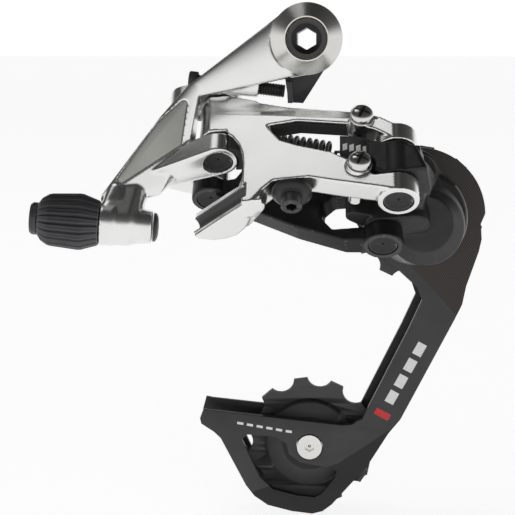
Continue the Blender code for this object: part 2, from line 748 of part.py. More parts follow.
def pulley_bolt(name, centre, profile, socket):
    """Turned bolt through a pulley, with a hexagon socket between two levels of its head."""
    bolt = turned(name, profile, SIDE, centre)
    finish(cut(bolt, plate("socket", hexagon(SOCKET, centre), SIDE, *socket)), STEEL)


def cage_parts():
    holes = [circle(UPPER, 3.2, 16), circle(LOWER, 4.3), WINDOW]
    outer = side_plate("cage_outer_plate", cage_outline(), *OUTER_PLATE_Y, holes)
    finish(outer, CARBON, CAGE_ORIGIN)
    holes = [circle(UPPER, 2.8, 16), circle(LOWER, 2.8, 16), WINDOW]
    inner = side_plate("cage_inner_plate", cage_outline(1.2), *INNER_PLATE_Y, holes)
    inner = unite(inner, side_plate("tab", CHAIN_TAB, INNER_PLATE_Y[0] - 1.6, INNER_PLATE_Y[1] - 0.3))
    finish(inner, BLACK, CAGE_ORIGIN)

    axle = turned(
        "cage_axle",
        [(AXLE_R, 18.8), (AXLE_R, -1.0), (5.6, -1.0), (5.6, -3.1)]
        + [(2.8, -3.1), (2.8, 6.0), (1.6, 6.0), (1.6, 18.8)],
        SIDE,
        UPPER,
    )
    finish(axle, STEEL, CAGE_ORIGIN)
    finish(rod("cage_stop_pin", SIDE, (22.9, -39.6), 1.5, -3.1, 1.5, 12), STEEL, CAGE_ORIGIN)
    lower = [(3.95, -3.2), (3.95, -5.3), (2.5, -5.3), (2.5, -16.0), (0.5, -16.0), (0.5, -3.2)]
    pulley_bolt("lower_pulley_bolt", LOWER, lower, (-4.6, -2.5))
    upper = [(4.6, -18.6), (4.6, -16.5), (2.5, -16.5), (2.5, -0.4), (0.5, -0.4), (0.5, -18.6)]
    pulley_bolt("upper_pulley_bolt", UPPER, upper, (-19, -17.0))


# ---------------------------------------------------------------- pulleys

SEAT_POINTS = 4
HUB_R = 14.6
BORE_R = 7.3


def tooth_outline(centre, first_tooth):
    """Outline of the toothed ring: round roller seats with flat-topped teeth between them."""
    pitch = 360 / TEETH
    reach = acos((PITCH_R**2 + ROLLER_R**2 - TIP_R**2) / (2 * PITCH_R * ROLLER_R))
    points = []
    for k in range(TEETH):
        seat = radians(first_tooth + pitch * (k + 0.5))
        middle = (centre[0] + PITCH_R * cos(seat), centre[1] + PITCH_R * sin(seat))
        for j in range(SEAT_POINTS):
            angle = seat + pi + reach - 2 * reach * j / (SEAT_POINTS - 1)
            points.append((middle[0] + ROLLER_R * cos(angle), middle[1] + ROLLER_R * sin(angle)))
    return points


def pulley(prefix, centre, first_tooth):
    """A toothed pulley with its sealed bearing: races, ball cage, two covers and a sleeve."""
    axis = (centre[0], PULLEY_Y, centre[1])
    z = -PULLEY_Y
    teeth = plate(prefix + "_pulley", tooth_outline(centre, first_tooth), SIDE, z - 1.0, z + 1.0)
    hub = rod("hub", SIDE, centre, HUB_R, z - 1.9, z + 1.9, 24)
    bore = rod("bore", SIDE, centre, BORE_R, z - 3, z + 3)
    finish(cut(unite(teeth, hub), bore), PLASTIC, axis)
    finish(ring(prefix + "_outer_race", SIDE, centre, 5.8, 7.0, z - 1.9, z + 1.9), STEEL, axis)
    finish(ring(prefix + "_ball_cage", SIDE, centre, 4.5, 5.5, z - 1.2, z + 1.2, 16), BRONZE, axis)
    finish(ring(prefix + "_bearing_sleeve", SIDE, centre, 2.8, 4.2, z - 4.0, z + 4.0, 16), STEEL, axis)
    for side, near, far in (("outer", z + 2.2, z + 3.0), ("inner", z - 3.0, z - 2.2)):
        cover = ring(f"{prefix}_{side}_cover", SIDE, centre, 4.5, 8.6, near, far)
        finish(cover, BLACK, axis)


def build():
    hanger_parts()
    b_knuckle()
    cable_parts()
    b_screw()
    outer_link()
    anchor_parts()
    limit_screw("high_limit_screw", HIGH_AXIS, 16.6)
    limit_screw("low_limit_screw", LOW_AXIS, 9.0)
    inner_link()
    p_knuckle()
    p_knuckle_trim()
    return_spring()
    pin("pivot_pin_a", PIN_A, A_FORK[0] + 0.4, -12.9)
    for name, centre, fork in (("b", PIN_B, B_FORK), ("c", PIN_C, C_FORK), ("d", PIN_D, D_FORK)):
        pin("pivot_pin_" + name, centre, fork[0] + 0.4, fork[3] - 0.4)
        bush("pivot_bush_" + name, centre, fork[1] + 0.7, fork[2] - 0.7)
    bush("pivot_bush_a", PIN_A, A_FORK[1] + 0.7, A_FORK[2] - 0.7)
    cage_parts()
    pulley("upper", UPPER, 15.7)
    pulley("lower", LOWER, 98.1)


build()
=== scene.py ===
"""Looks of the rear derailleur: fine surfaces and materials round the fixed frame.

World frame: the origin is on the hanger bolt's axis, on the outer face of the frame's hanger.
+X points to the front of the bike, +Y inboard towards the wheel and +Z up.
All sizes below are in millimetres and become metres when a mesh is made.
"""

import json
from math import acos, atan2, cos, hypot, pi, radians, sin

import bmesh
import bpy
from mathutils import Matrix, Vector

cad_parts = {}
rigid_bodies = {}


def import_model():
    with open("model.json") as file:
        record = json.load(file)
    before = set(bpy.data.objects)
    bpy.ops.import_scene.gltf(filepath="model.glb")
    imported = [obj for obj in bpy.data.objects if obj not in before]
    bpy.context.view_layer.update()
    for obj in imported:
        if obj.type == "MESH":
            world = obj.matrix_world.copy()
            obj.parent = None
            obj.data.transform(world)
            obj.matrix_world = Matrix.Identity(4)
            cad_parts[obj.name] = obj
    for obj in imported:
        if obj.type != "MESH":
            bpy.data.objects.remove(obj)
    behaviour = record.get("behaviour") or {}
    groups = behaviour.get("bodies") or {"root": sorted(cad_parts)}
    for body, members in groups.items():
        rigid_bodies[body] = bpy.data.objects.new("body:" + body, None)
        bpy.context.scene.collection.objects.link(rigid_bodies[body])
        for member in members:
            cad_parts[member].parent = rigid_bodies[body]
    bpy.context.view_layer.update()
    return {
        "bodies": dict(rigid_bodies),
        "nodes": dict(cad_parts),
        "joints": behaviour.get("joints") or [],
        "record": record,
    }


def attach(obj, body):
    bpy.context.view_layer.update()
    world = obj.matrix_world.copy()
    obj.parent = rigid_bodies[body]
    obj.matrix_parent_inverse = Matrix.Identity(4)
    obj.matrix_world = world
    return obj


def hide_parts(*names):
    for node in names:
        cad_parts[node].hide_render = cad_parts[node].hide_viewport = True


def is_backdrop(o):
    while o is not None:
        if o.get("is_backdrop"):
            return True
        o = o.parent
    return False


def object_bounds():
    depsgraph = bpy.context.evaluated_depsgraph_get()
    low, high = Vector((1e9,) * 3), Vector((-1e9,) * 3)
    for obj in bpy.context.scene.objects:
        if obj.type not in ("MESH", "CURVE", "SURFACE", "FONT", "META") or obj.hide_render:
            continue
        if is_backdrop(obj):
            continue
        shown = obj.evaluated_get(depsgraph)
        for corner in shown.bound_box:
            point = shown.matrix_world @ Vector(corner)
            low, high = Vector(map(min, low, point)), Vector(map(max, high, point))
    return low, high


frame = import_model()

MM = 0.001
GAP = 0.3  # between parts that touch
ROUND = 48  # sides of a small round shape
LARGE = 96  # sides of a large one
HULL_SIDES = 40
SMOOTH = 35  # degrees between faces, above which an edge stays sharp
CAD_SMOOTH = 30
HEAD_GAP = 0.15  # round a pivot pin's head
FINE = 8000  # faces, above which a body counts as a finished forging

# Pivot-parallel frame: the four parallelogram pins point up and inboard, 45 degrees from level.
SLANT = radians(45)

# Parallelogram, seen along the pins: (x, q), where q runs outboard and up.
PIN_A = (-25.5, -11.2)  # outer link on the B-knuckle
PIN_B = (25.8, -1.8)  # outer link on the P-knuckle
LINK_OFFSET = (-3.4, -19.2)  # from an outer link pin to the inner link pin on the same knuckle
PIN_D = (PIN_A[0] + LINK_OFFSET[0], PIN_A[1] + LINK_OFFSET[1])
PIN_C = (PIN_B[0] + LINK_OFFSET[0], PIN_B[1] + LINK_OFFSET[1])
LINK_LENGTH = hypot(PIN_B[0] - PIN_A[0], PIN_B[1] - PIN_A[1])
LINK_ANGLE = atan2(PIN_B[1] - PIN_A[1], PIN_B[0] - PIN_A[0])

# Levels along the pins (p runs inboard and up) of the forks and of the eyes between them
A_FORK = (-39.0, -32.6, -17.2, -11.0)  # lower ear bottom and top, upper ear bottom and top
B_FORK = (-61.0, -54.9, -42.7, -37.0)
C_FORK = (-62.0, -56.9, -44.9, -40.0)
D_FORK = (-38.0, -33.6, -20.4, -16.0)
BOSS_R = 5.8
PIN_HEAD_R = 4.2
PIN_R = 3.0
BUSH_R = 4.0

# Pulley cage
PITCH_R = 22.54  # 11 teeth on a half-inch chain pitch
TEETH = 11
TIP_R = 21.2
ROLLER_R = 4.2
UPPER = (34.3, -53.8)
LOWER = (1.5, -128.6)
PULLEY_Y = 10.0
OUTER_PLATE_Y = (3.4, 5.6)
INNER_PLATE_Y = (14.4, 16.2)

# Hanger pivot
RING_R = 10.5
STOP_PLATE_R = 9.6
BOLT_HEX = 5.6

# Cable adjuster, on an axis in the plane of the parallelogram at this level
ADJUSTER_P = -56.0
ADJUSTER_START = (-79.3, -16.5)
ADJUSTER_END = (-44.0, -20.5)

SIDE = Matrix.Rotation(radians(90), 4, "X")  # local x, y, z = world X, Z, -Y
PIVOT = Matrix.Rotation(radians(90) + SLANT, 4, "X")  # local x, y, z = X, q, -p


def world(x, p, q):
    """Point at x, p along the pins and q across them, as world millimetres."""
    return Vector((x, p * cos(SLANT) - q * sin(SLANT), p * sin(SLANT) + q * cos(SLANT)))


def face_frame(pin):
    """Frame of a link: local x, y, z = along the link from its pin, along the pins, outboard."""
    origin = Matrix.Translation(world(pin[0], 0, pin[1]) * MM)
    return origin @ Matrix.Rotation(SLANT, 4, "X") @ Matrix.Rotation(-LINK_ANGLE, 4, "Y")


OUTER_FACE = face_frame(PIN_A)
INNER_FACE = face_frame(PIN_D)
OUTER_PIVOT = OUTER_FACE @ Matrix.Rotation(radians(90), 4, "X")  # along the link, outboard, -p
INNER_PIVOT = INNER_FACE @ Matrix.Rotation(radians(90), 4, "X")


def along(start, end):
    """Frame at start (world millimetres) with local z towards end."""
    direction = (Vector(end) - Vector(start)).normalized()
    turn = direction.to_track_quat("Z", "Y").to_matrix().to_4x4()
    return Matrix.Translation(Vector(start) * MM) @ turn


# ------------------------------------ helpers


def new_object(name, data, frame=None):
    obj = bpy.data.objects.new(name, data)
    bpy.context.scene.collection.objects.link(obj)
    if frame is not None:
        obj.matrix_world = frame
    return obj


def flattened(obj):
    """Replace an object by its evaluated mesh, welded, with its place kept."""
    bpy.context.view_layer.update()
    mesh = bpy.data.meshes.new_from_object(obj.evaluated_get(bpy.context.evaluated_depsgraph_get()))
    work = bmesh.new()
    work.from_mesh(mesh)
    bmesh.ops.remove_doubles(work, verts=work.verts, dist=1e-6)
    bmesh.ops.recalc_face_normals(work, faces=work.faces)
    work.to_mesh(mesh)
    work.free()
    name, frame = obj.name, obj.matrix_world.copy()
    bpy.data.objects.remove(obj, do_unlink=True)
    return new_object(name, mesh, frame)


def plate(name, outline, frame, low, high, holes=()):
    """Solid between two levels of a frame's z, from a closed outline and any holes in it."""
    curve = bpy.data.curves.new(name, "CURVE")
    curve.dimensions = "2D"
    curve.fill_mode = "BOTH"
    curve.extrude = (high - low) / 2 * MM
    for points in (outline, *holes):
        spline = curve.splines.new("POLY")
        spline.points.add(len(points) - 1)
        for point, (x, y) in zip(spline.points, points):
            point.co = (x * MM, y * MM, 0, 1)
        spline.use_cyclic_u = True
    middle = Matrix.Translation((0, 0, (high + low) / 2 * MM))
    return flattened(new_object(name, curve, frame @ middle))


def rod(name, frame, centre, radius, low, high, sides=ROUND, top_radius=None):
    """Cylinder or cone about a frame's z through centre."""
    work = bmesh.new()
    middle = Matrix.Translation((centre[0] * MM, centre[1] * MM, (high + low) / 2 * MM))
    bmesh.ops.create_cone(
        work,
        cap_ends=True,
        segments=sides,
        radius1=radius * MM,
        radius2=(radius if top_radius is None else top_radius) * MM,
        depth=(high - low) * MM,
        matrix=middle,
    )
    mesh = bpy.data.meshes.new(name)
    work.to_mesh(mesh)
    work.free()
    return new_object(name, mesh, frame)


def turned(name, profile, frame, centre=(0, 0), steps=ROUND):
    """Ring or solid of revolution about a frame's z: profile is a closed loop of (radius, z)."""
    mesh = bpy.data.meshes.new(name)
    points = [(r * MM, 0, z * MM) for r, z in profile]
    edges = [(i, (i + 1) % len(points)) for i in range(len(points))]
    mesh.from_pydata(points, edges, [])
    obj = new_object(name, mesh, frame @ Matrix.Translation((centre[0] * MM, centre[1] * MM, 0)))
    screw = obj.modifiers.new("turn", "SCREW")
    screw.axis = "Z"
    screw.angle = 2 * pi
    screw.steps = steps
    screw.render_steps = steps
    screw.use_merge_vertices = True
    screw.merge_threshold = 1e-6
    return flattened(obj)


def ring(name, frame, centre, inner, outer, low, high, steps=ROUND):
    profile = [(outer, high), (outer, low), (inner, low), (inner, high)]
    return turned(name, profile, frame, centre, steps)


def hull(name, discs, sides=HULL_SIDES):
    """Convex body round discs, each given as (frame, centre, radius, level)."""
    work = bmesh.new()
    for frame, centre, radius, level in discs:
        for k in range(sides):
            angle = 2 * pi * k / sides
            x = centre[0] + radius * cos(angle)
            y = centre[1] + radius * sin(angle)
            work.verts.new(frame @ Vector((x * MM, y * MM, level * MM)))
    bmesh.ops.remove_doubles(work, verts=work.verts, dist=1e-6)
    bmesh.ops.convex_hull(work, input=work.verts)
    inside = [vertex for vertex in work.verts if not vertex.link_faces]
    bmesh.ops.delete(work, geom=inside, context="VERTS")
    mesh = bpy.data.meshes.new(name)
    work.to_mesh(mesh)
    work.free()
    return new_object(name, mesh)


def pair(frame, centre, radius, low, high):
    """Two discs of a hull, at two levels of one frame."""
    return [(frame, centre, radius, low), (frame, centre, radius, high)]


def bridge(name, frame, *ends, sides=HULL_SIDES):
    """Convex body round cylinders of one frame, each given as (centre, radius, low, high)."""
    return hull(name, [disc for end in ends for disc in pair(frame, *end)], sides)


def boolean(target, tool, operation):
    name = target.name
    change = target.modifiers.new("boolean", "BOOLEAN")
    change.operation = operation
    change.solver = "MANIFOLD" if len(target.data.polygons) > FINE else "EXACT"
    change.object = tool
    made = flattened(target)
    bpy.data.objects.remove(tool, do_unlink=True)
    made.name = name
    return made


def unite(target, *tools):
    for tool in tools:
        target = boolean(target, tool, "UNION")
    return target


def cut(target, *tools):
    for tool in tools:
        target = boolean(target, tool, "DIFFERENCE")
    return target


def arc(centre, radius, start, end, count):
    """Points on a circle from start to end, in degrees."""
    step = (end - start) / (count - 1)
    angles = [radians(start + step * k) for k in range(count)]
    return [(centre[0] + radius * cos(a), centre[1] + radius * sin(a)) for a in angles]


def circle(centre, radius, count=ROUND):
    return arc(centre, radius, 0, 360 - 360 / count, count)


def hexagon(across_flats, centre=(0, 0)):
    """Hexagon with a corner straight up."""
    return arc(centre, across_flats / 2 / cos(pi / 6), 90, 390, 6)


def wire(name, points, radius):
    """Round wire through world points."""
    curve = bpy.data.curves.new(name, "CURVE")
    curve.dimensions = "3D"
    curve.bevel_depth = radius * MM
    curve.bevel_resolution = 1
    curve.use_fill_caps = True
    spline = curve.splines.new("POLY")
    spline.points.add(len(points) - 1)
    for point, co in zip(spline.points, points):
        point.co = (*(Vector(co) * MM), 1)
    return flattened(new_object(name, curve))


def coil(start, end, radius, turns, per_turn):
    """Points of a helix from start to end, world millimetres."""
    frame = along(start, end)
    length = (Vector(end) - Vector(start)).length
    count = int(turns * per_turn)
    points = []
    for k in range(count + 1):
        angle = 2 * pi * k / per_turn
        local = Vector((radius * cos(angle), radius * sin(angle), length * k / count)) * MM
        points.append((frame @ local) / MM)
    return points



# ------------------------------------ finishing helpers

BODY = {node: body for body, nodes in frame["record"]["behaviour"]["bodies"].items() for node in nodes}
SLOT = {part["node"]: part["material_slot"] for part in frame["record"]["subparts"]}


def applied(obj, *modifiers):
    """Add modifiers given as (type, settings) and replace the object by the result."""
    for kind, settings in modifiers:
        modifier = obj.modifiers.new(kind.lower(), kind)
        for key, value in settings.items():
            setattr(modifier, key, value)
    return flattened(obj)


def closed(obj):
    """Whether every edge joins exactly two faces."""
    work = bmesh.new()
    work.from_mesh(obj.data)
    result = all(len(edge.link_faces) == 2 for edge in work.edges)
    work.free()
    return result


def forged(obj, voxel=0.3, rounds=4):
    """Round every edge and corner, as a forging and its polishing do."""
    while True:
        trial = new_object(obj.name, obj.data.copy(), obj.matrix_world.copy())
        remesh = ("REMESH", {"mode": "VOXEL", "voxel_size": voxel * MM})
        trial = applied(trial, remesh, ("SMOOTH", {"factor": 0.5, "iterations": rounds}))
        if closed(trial):
            bpy.data.objects.remove(obj, do_unlink=True)
            return trial
        bpy.data.objects.remove(trial, do_unlink=True)
        voxel *= 1.03


def fused(name, parts, voxel=0.28, rounds=3):
    """One forging made of overlapping closed bodies."""
    work = bmesh.new()
    for part in parts:
        part.data.transform(part.matrix_world)
        work.from_mesh(part.data)
        bpy.data.objects.remove(part, do_unlink=True)
    mesh = bpy.data.meshes.new(name)
    work.to_mesh(mesh)
    work.free()
    return forged(new_object(name, mesh), voxel, rounds)


def eased(obj, width=0.2, segments=2, angle=30):
    """Break the sharp edges of a machined or moulded piece."""
    bevel = {"width": width * MM, "segments": segments, "limit_method": "ANGLE"}
    return applied(obj, ("BEVEL", {**bevel, "angle_limit": radians(angle)}))


def dress(obj, look, smooth):
    """Give an object its material, and smooth its faces up to an angle in degrees."""
    obj.data.materials.clear()
    obj.data.materials.append(look)
    obj.data.shade_smooth()
    obj.data.set_sharp_from_angle(angle=radians(smooth))


def piece(obj, look, *nodes, smooth=SMOOTH):
    """Name a finished piece, give it its look and let it stand for CAD nodes of one body."""
    obj.name = nodes[0] + "_fine"
    obj.data.name = obj.name
    dress(obj, look, smooth)
    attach(obj, BODY[nodes[0]])
    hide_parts(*nodes)


def extra(name, obj, look, node):
    """Name and place a detail that the CAD node it belongs to doesn't have."""
    obj.name = name
    dress(obj, look, SMOOTH)
    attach(obj, BODY[node])


# ------------------------------------ materials


class Look:
    """A material whose colour, roughness and fine relief vary over the surface."""

    def __init__(self, name, colour, metallic, roughness, coat=0.0):
        self.material = bpy.data.materials.new(name)
        self.material.use_nodes = True
        self.tree = self.material.node_tree
        self.shader = self.tree.nodes["Principled BSDF"]
        self.shader.inputs["Base Color"].default_value = (*colour, 1.0)
        self.shader.inputs["Metallic"].default_value = metallic
        self.shader.inputs["Roughness"].default_value = roughness
        self.shader.inputs["Coat Weight"].default_value = coat
        self.shader.inputs["Coat Roughness"].default_value = 0.12
        self.coords = self.tree.nodes.new("ShaderNodeTexCoord").outputs["Object"]

    def node(self, kind, **inputs):
        made = self.tree.nodes.new(kind)
        for key, value in inputs.items():
            self.feed(made.inputs[int(key[1:]) if key[0] == "_" else key.replace("_", " ")], value)
        return made

    def feed(self, socket, value):
        if isinstance(value, bpy.types.NodeSocket):
            self.tree.links.new(value, socket)
        else:
            socket.default_value = value

    def noise(self, size, detail=3.0, stretch=(1.0, 1.0, 1.0)):
        """Noise with features of a size in millimetres, stretched along the axes."""
        scaled = self.node("ShaderNodeMapping", Vector=self.coords, Scale=stretch)
        scale = 1 / (size * MM)
        made = self.node("ShaderNodeTexNoise", Vector=scaled.outputs[0], Scale=scale, Detail=detail)
        return made.outputs["Fac"]

    def spread(self, value, low, high, start=0.3, end=0.7):
        made = self.node("ShaderNodeMapRange", Value=value)
        for key, number in (("From Min", start), ("From Max", end), ("To Min", low), ("To Max", high)):
            made.inputs[key].default_value = number
        return made.outputs[0]

    def mix(self, factor, first, second):
        made = self.tree.nodes.new("ShaderNodeMix")
        made.data_type = "RGBA"
        self.feed(made.inputs[0], factor)
        self.feed(made.inputs[6], first if isinstance(first, bpy.types.NodeSocket) else (*first, 1.0))
        self.feed(made.inputs[7], second if isinstance(second, bpy.types.NodeSocket) else (*second, 1.0))
        return made.outputs[2]

    def maths(self, operation, *values):
        made = self.tree.nodes.new("ShaderNodeMath")
        made.operation = operation
        for socket, value in zip(made.inputs, values):
            self.feed(socket, value)
        return made.outputs[0]

    def colour(self, value):
        self.feed(self.shader.inputs["Base Color"], value)

    def roughness(self, value):
        self.feed(self.shader.inputs["Roughness"], value)

    def bump(self, height, strength, distance=0.1):
        made = self.node("ShaderNodeBump", Strength=strength, Distance=distance * MM, Height=height)
        self.feed(self.shader.inputs["Normal"], made.outputs[0])

    def edges(self, low=0.52, high=0.60):
        """Mask of the sharp outer edges, where a painted highlight lightens the colour."""
        pointiness = self.tree.nodes.new("ShaderNodeNewGeometry").outputs["Pointiness"]
        return self.spread(pointiness, 0.0, 1.0, low, high)


def metal(name, bright, dull, roughness, grain):
    look = Look(name, bright, 1.0, roughness)
    look.colour(look.mix(look.spread(look.noise(14.0), 0.0, 1.0), bright, dull))
    look.roughness(look.spread(look.noise(grain, 2.0), roughness * 0.93, roughness * 1.07))
    look.bump(look.noise(grain, 2.0), 0.06, 0.01)
    return look.material


EDGE_HIGHLIGHT_GAIN = 5.0  # how much paler the painted highlight on sharp edges is


def dark(name, colour, lighter, roughness, grain, metallic=0.0, specular=0.3, highlight_gain=EDGE_HIGHLIGHT_GAIN):
    look = Look(name, colour, metallic, roughness)
    look.shader.inputs["Specular IOR Level"].default_value = specular
    cloud = look.mix(look.spread(look.noise(7.0), 0.0, 1.0), colour, lighter)
    # painted highlight: colour lightened along the sharp edges
    look.colour(look.mix(look.edges(), cloud, tuple(highlight_gain * c for c in lighter)))
    look.roughness(look.spread(look.noise(3.0), roughness * 0.85, roughness * 1.2))
    look.bump(look.noise(grain, 2.0), 0.2, 0.02)
    return look.material


def printed(name, colour, lighter):
    look = Look(name, colour, 0.0, 0.45)
    look.colour(look.mix(look.spread(look.noise(1.2), 0.0, 1.0), colour, lighter))
    look.roughness(look.spread(look.noise(0.6), 0.40, 0.52))
    look.bump(look.noise(0.1, 2.0), 0.1, 0.005)
    return look.material


SILVER = metal("satin_forging", (0.84, 0.84, 0.83), (0.79, 0.79, 0.775), 0.25, 0.25)
# Painted shade: dim silver for the floor of the B-knuckle's pocket.
POCKET_SHADE_SILVER = metal("painted_pocket_shade", (0.45, 0.45, 0.42), (0.38, 0.38, 0.355), 0.5, 0.2)
RING_SILVER = metal("turned_aluminium", (0.74, 0.735, 0.71), (0.66, 0.65, 0.625), 0.24, 0.2)
STEEL = metal("bright_plating", (0.78, 0.77, 0.75), (0.70, 0.69, 0.67), 0.18, 0.2)
BRONZE = metal("sintered_bronze", (0.50, 0.36, 0.20), (0.40, 0.28, 0.15), 0.42, 0.15)
BLACK = dark("black_anodising", (0.006, 0.006, 0.0065), (0.011, 0.011, 0.0115), 0.33, 0.18, 0.0, 0.26)
BLACK_STEEL = dark("black_oxide", (0.008, 0.008, 0.008), (0.014, 0.014, 0.014), 0.30, 0.2, 0.0, 0.30)
# Black oxide of the pins; also painted shade in the cable groove.
PIN_BLACK_AND_SHADE = dark("pin_oxide", (0.016, 0.016, 0.0165), (0.024, 0.024, 0.0245), 0.45, 0.2, 0.0, 0.25)
KNUCKLE_COLOURS = ((0.017, 0.017, 0.0175), (0.025, 0.025, 0.026))
KNUCKLE_PAINT = dark("knuckle_paint", *KNUCKLE_COLOURS, 0.36, 0.2, 0.0, 0.32, 1.2)
# Painted highlight: pale grey for the thin bright line round the bell's rim.
RIM_HIGHLIGHT_PAINT = dark("painted_rim_highlight", (0.22, 0.22, 0.22), (0.30, 0.30, 0.30), 0.30, 0.2, 0.0, 0.4, 1.0)
POLYMER = dark("adjuster_polymer", (0.026, 0.026, 0.028), (0.036, 0.036, 0.039), 0.50, 0.12, 0.0, 0.30)
PULLEY = dark("pulley_polymer", (0.009, 0.009, 0.0095), (0.015, 0.015, 0.0155), 0.42, 0.15, 0.0, 0.22)
# Seal rubber; also painted shade in gaps, slots and on the window's upper wall.
RUBBER_AND_SHADE = dark("seal_rubber", (0.004, 0.004, 0.004), (0.008, 0.008, 0.008), 0.70, 0.1, 0.0, 0.10)
WHITE_PRINT = printed("white_print", (0.80, 0.80, 0.80), (0.88, 0.88, 0.88))
RED_PRINT = printed("red_print", (0.56, 0.020, 0.018), (0.66, 0.030, 0.026))


def side_mask(look, point, towards, blur=0.15):
    """1 on one side of a slanted line across the cage plate, 0 on the other."""
    split = look.node("ShaderNodeSeparateXYZ", Vector=look.coords)
    size = hypot(*towards)
    across = look.maths("MULTIPLY", split.outputs[0], towards[0] / size)
    up = look.maths("MULTIPLY", split.outputs[1], towards[1] / size)
    start = (point[0] * towards[0] + point[1] * towards[1]) / size * MM
    return look.spread(look.maths("ADD", across, up), 0.0, 1.0, start, start + blur * MM)


WEAVE_EDGE = ((30.3, -67.1), (0.732, 0.681))  # a point on its edge and the way in from there
ARM_FACET = ((8.8, -135.1), (0.570, -0.822))
FOOT_FACET = ((-17.0, -143.8), (0.34, -0.94))
FIBRE_PITCH = 0.75


def carbon():
    """Satin carbon plate: bare fibres near the knuckle and darker facets round the foot."""
    look = Look("carbon_face", (0.05, 0.05, 0.05), 0.0, 0.38)
    look.shader.inputs["Specular IOR Level"].default_value = 0.35
    cloud = look.mix(look.spread(look.noise(16.0), 0.0, 1.0), (0.036, 0.036, 0.037), (0.052, 0.052, 0.053))
    facets = look.maths("MAXIMUM", side_mask(look, *ARM_FACET), side_mask(look, *FOOT_FACET))
    painted = look.mix(facets, cloud, (0.010, 0.010, 0.010))
    split = look.node("ShaderNodeSeparateXYZ", Vector=look.coords)
    slant = look.maths("SUBTRACT", split.outputs[0], look.maths("MULTIPLY", split.outputs[1], 0.62))
    wobble = look.maths("MULTIPLY", look.noise(3.0), 0.5)
    phase = look.maths("ADD", look.maths("MULTIPLY", slant, 2 * pi / (FIBRE_PITCH * MM)), wobble)
    stripe = look.spread(look.maths("SINE", phase), 0.0, 1.0, -0.6, 0.8)
    bare = look.mix(stripe, (0.012, 0.010, 0.009), (0.055, 0.043, 0.036))
    look.colour(look.mix(side_mask(look, *WEAVE_EDGE), painted, bare))
    look.roughness(look.spread(look.noise(2.0), 0.34, 0.42))
    look.bump(look.maths("ADD", look.noise(0.35, 2.0), stripe), 0.05, 0.01)
    return look.material


CARBON = carbon()


# ------------------------------------ stage, light and camera

CAMERA = Vector((3.97, -397.73, -3.22)) * MM
CAMERA_TURN = radians(2.72)
CAMERA_DOWN = radians(9.07)
LENS = 90.9
FLOOR_DROP = 0.4  # from the object's lowest point to the floor
FLOOR_GLOW = 0.80
SOFT_BOX_WAY = (-0.30, 0.04, 0.95)  # from the object to the lamp
SOFT_BOX_FAR = 1.4  # metres
SOFT_BOX_SIZE = 0.60
SOFT_BOX_POWER = 1.25
SKY = ((0.0, 1.0), (0.14, 1.0), (0.42, 0.10), (1.0, 0.03))  # heights and brightness, walls to ceiling
FLOOR_SIZE = 60.0  # metres
WHITE = (1.0, 1.0, 1.0, 1.0)


def stage():
    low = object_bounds()[0]
    bpy.ops.mesh.primitive_plane_add(size=FLOOR_SIZE, location=(0, 0, low.z - FLOOR_DROP * MM))
    floor = bpy.context.object
    floor.name = "floor"
    paint = Look("pale_floor", (0.85, 0.85, 0.85), 0.0, 0.85)
    paint.shader.inputs["Emission Color"].default_value = WHITE
    paint.shader.inputs["Emission Strength"].default_value = FLOOR_GLOW
    paint.bump(paint.noise(1.0), 0.05, 0.02)
    floor.data.materials.append(paint.material)
    floor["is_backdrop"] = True


def lights():
    """Studio: pale walls and floor, a dark ceiling and one soft box high on the left."""
    sky = bpy.data.worlds.new("studio")
    bpy.context.scene.world = sky
    sky.use_nodes = True
    tree = sky.node_tree
    ground = tree.nodes["Background"]
    coords = tree.nodes.new("ShaderNodeTexCoord")
    parts = tree.nodes.new("ShaderNodeSeparateXYZ")
    tree.links.new(coords.outputs["Generated"], parts.inputs[0])
    ramp = tree.nodes.new("ShaderNodeValToRGB")
    tree.links.new(parts.outputs["Z"], ramp.inputs[0])
    stops = ramp.color_ramp.elements
    for height, _ in SKY[1:-1]:
        stops.new(height)
    for stop, (height, level) in zip(stops, SKY):
        stop.position = height
        stop.color = (level, level, level, 1.0)
    tree.links.new(ramp.outputs[0], ground.inputs["Color"])
    plain = tree.nodes.new("ShaderNodeBackground")
    plain.inputs["Color"].default_value = WHITE
    path = tree.nodes.new("ShaderNodeLightPath")
    choice = tree.nodes.new("ShaderNodeMixShader")
    tree.links.new(path.outputs["Is Camera Ray"], choice.inputs[0])
    tree.links.new(ground.outputs[0], choice.inputs[1])
    tree.links.new(plain.outputs[0], choice.inputs[2])
    tree.links.new(choice.outputs[0], tree.nodes["World Output"].inputs["Surface"])

    box = bpy.data.lights.new("soft_box", "AREA")
    box.size = SOFT_BOX_SIZE
    box.energy = SOFT_BOX_POWER
    lamp = bpy.data.objects.new("soft_box", box)
    lamp.location = Vector(SOFT_BOX_WAY).normalized() * SOFT_BOX_FAR
    lamp.rotation_euler = Vector(SOFT_BOX_WAY).to_track_quat("Z", "Y").to_euler()
    bpy.context.scene.collection.objects.link(lamp)


def camera():
    lens = bpy.data.cameras.new("camera")
    lens.lens = LENS
    lens.sensor_width = 36.0
    lens.clip_start = 0.01
    eye = bpy.data.objects.new("camera", lens)
    eye.location = CAMERA
    eye.rotation_euler = (radians(90) - CAMERA_DOWN, 0, CAMERA_TURN)
    bpy.context.scene.collection.objects.link(eye)
    bpy.context.scene.camera = eye
    bpy.context.scene.view_settings.view_transform = "Standard"


# ------------------------------------ hanger bolt and stop plate


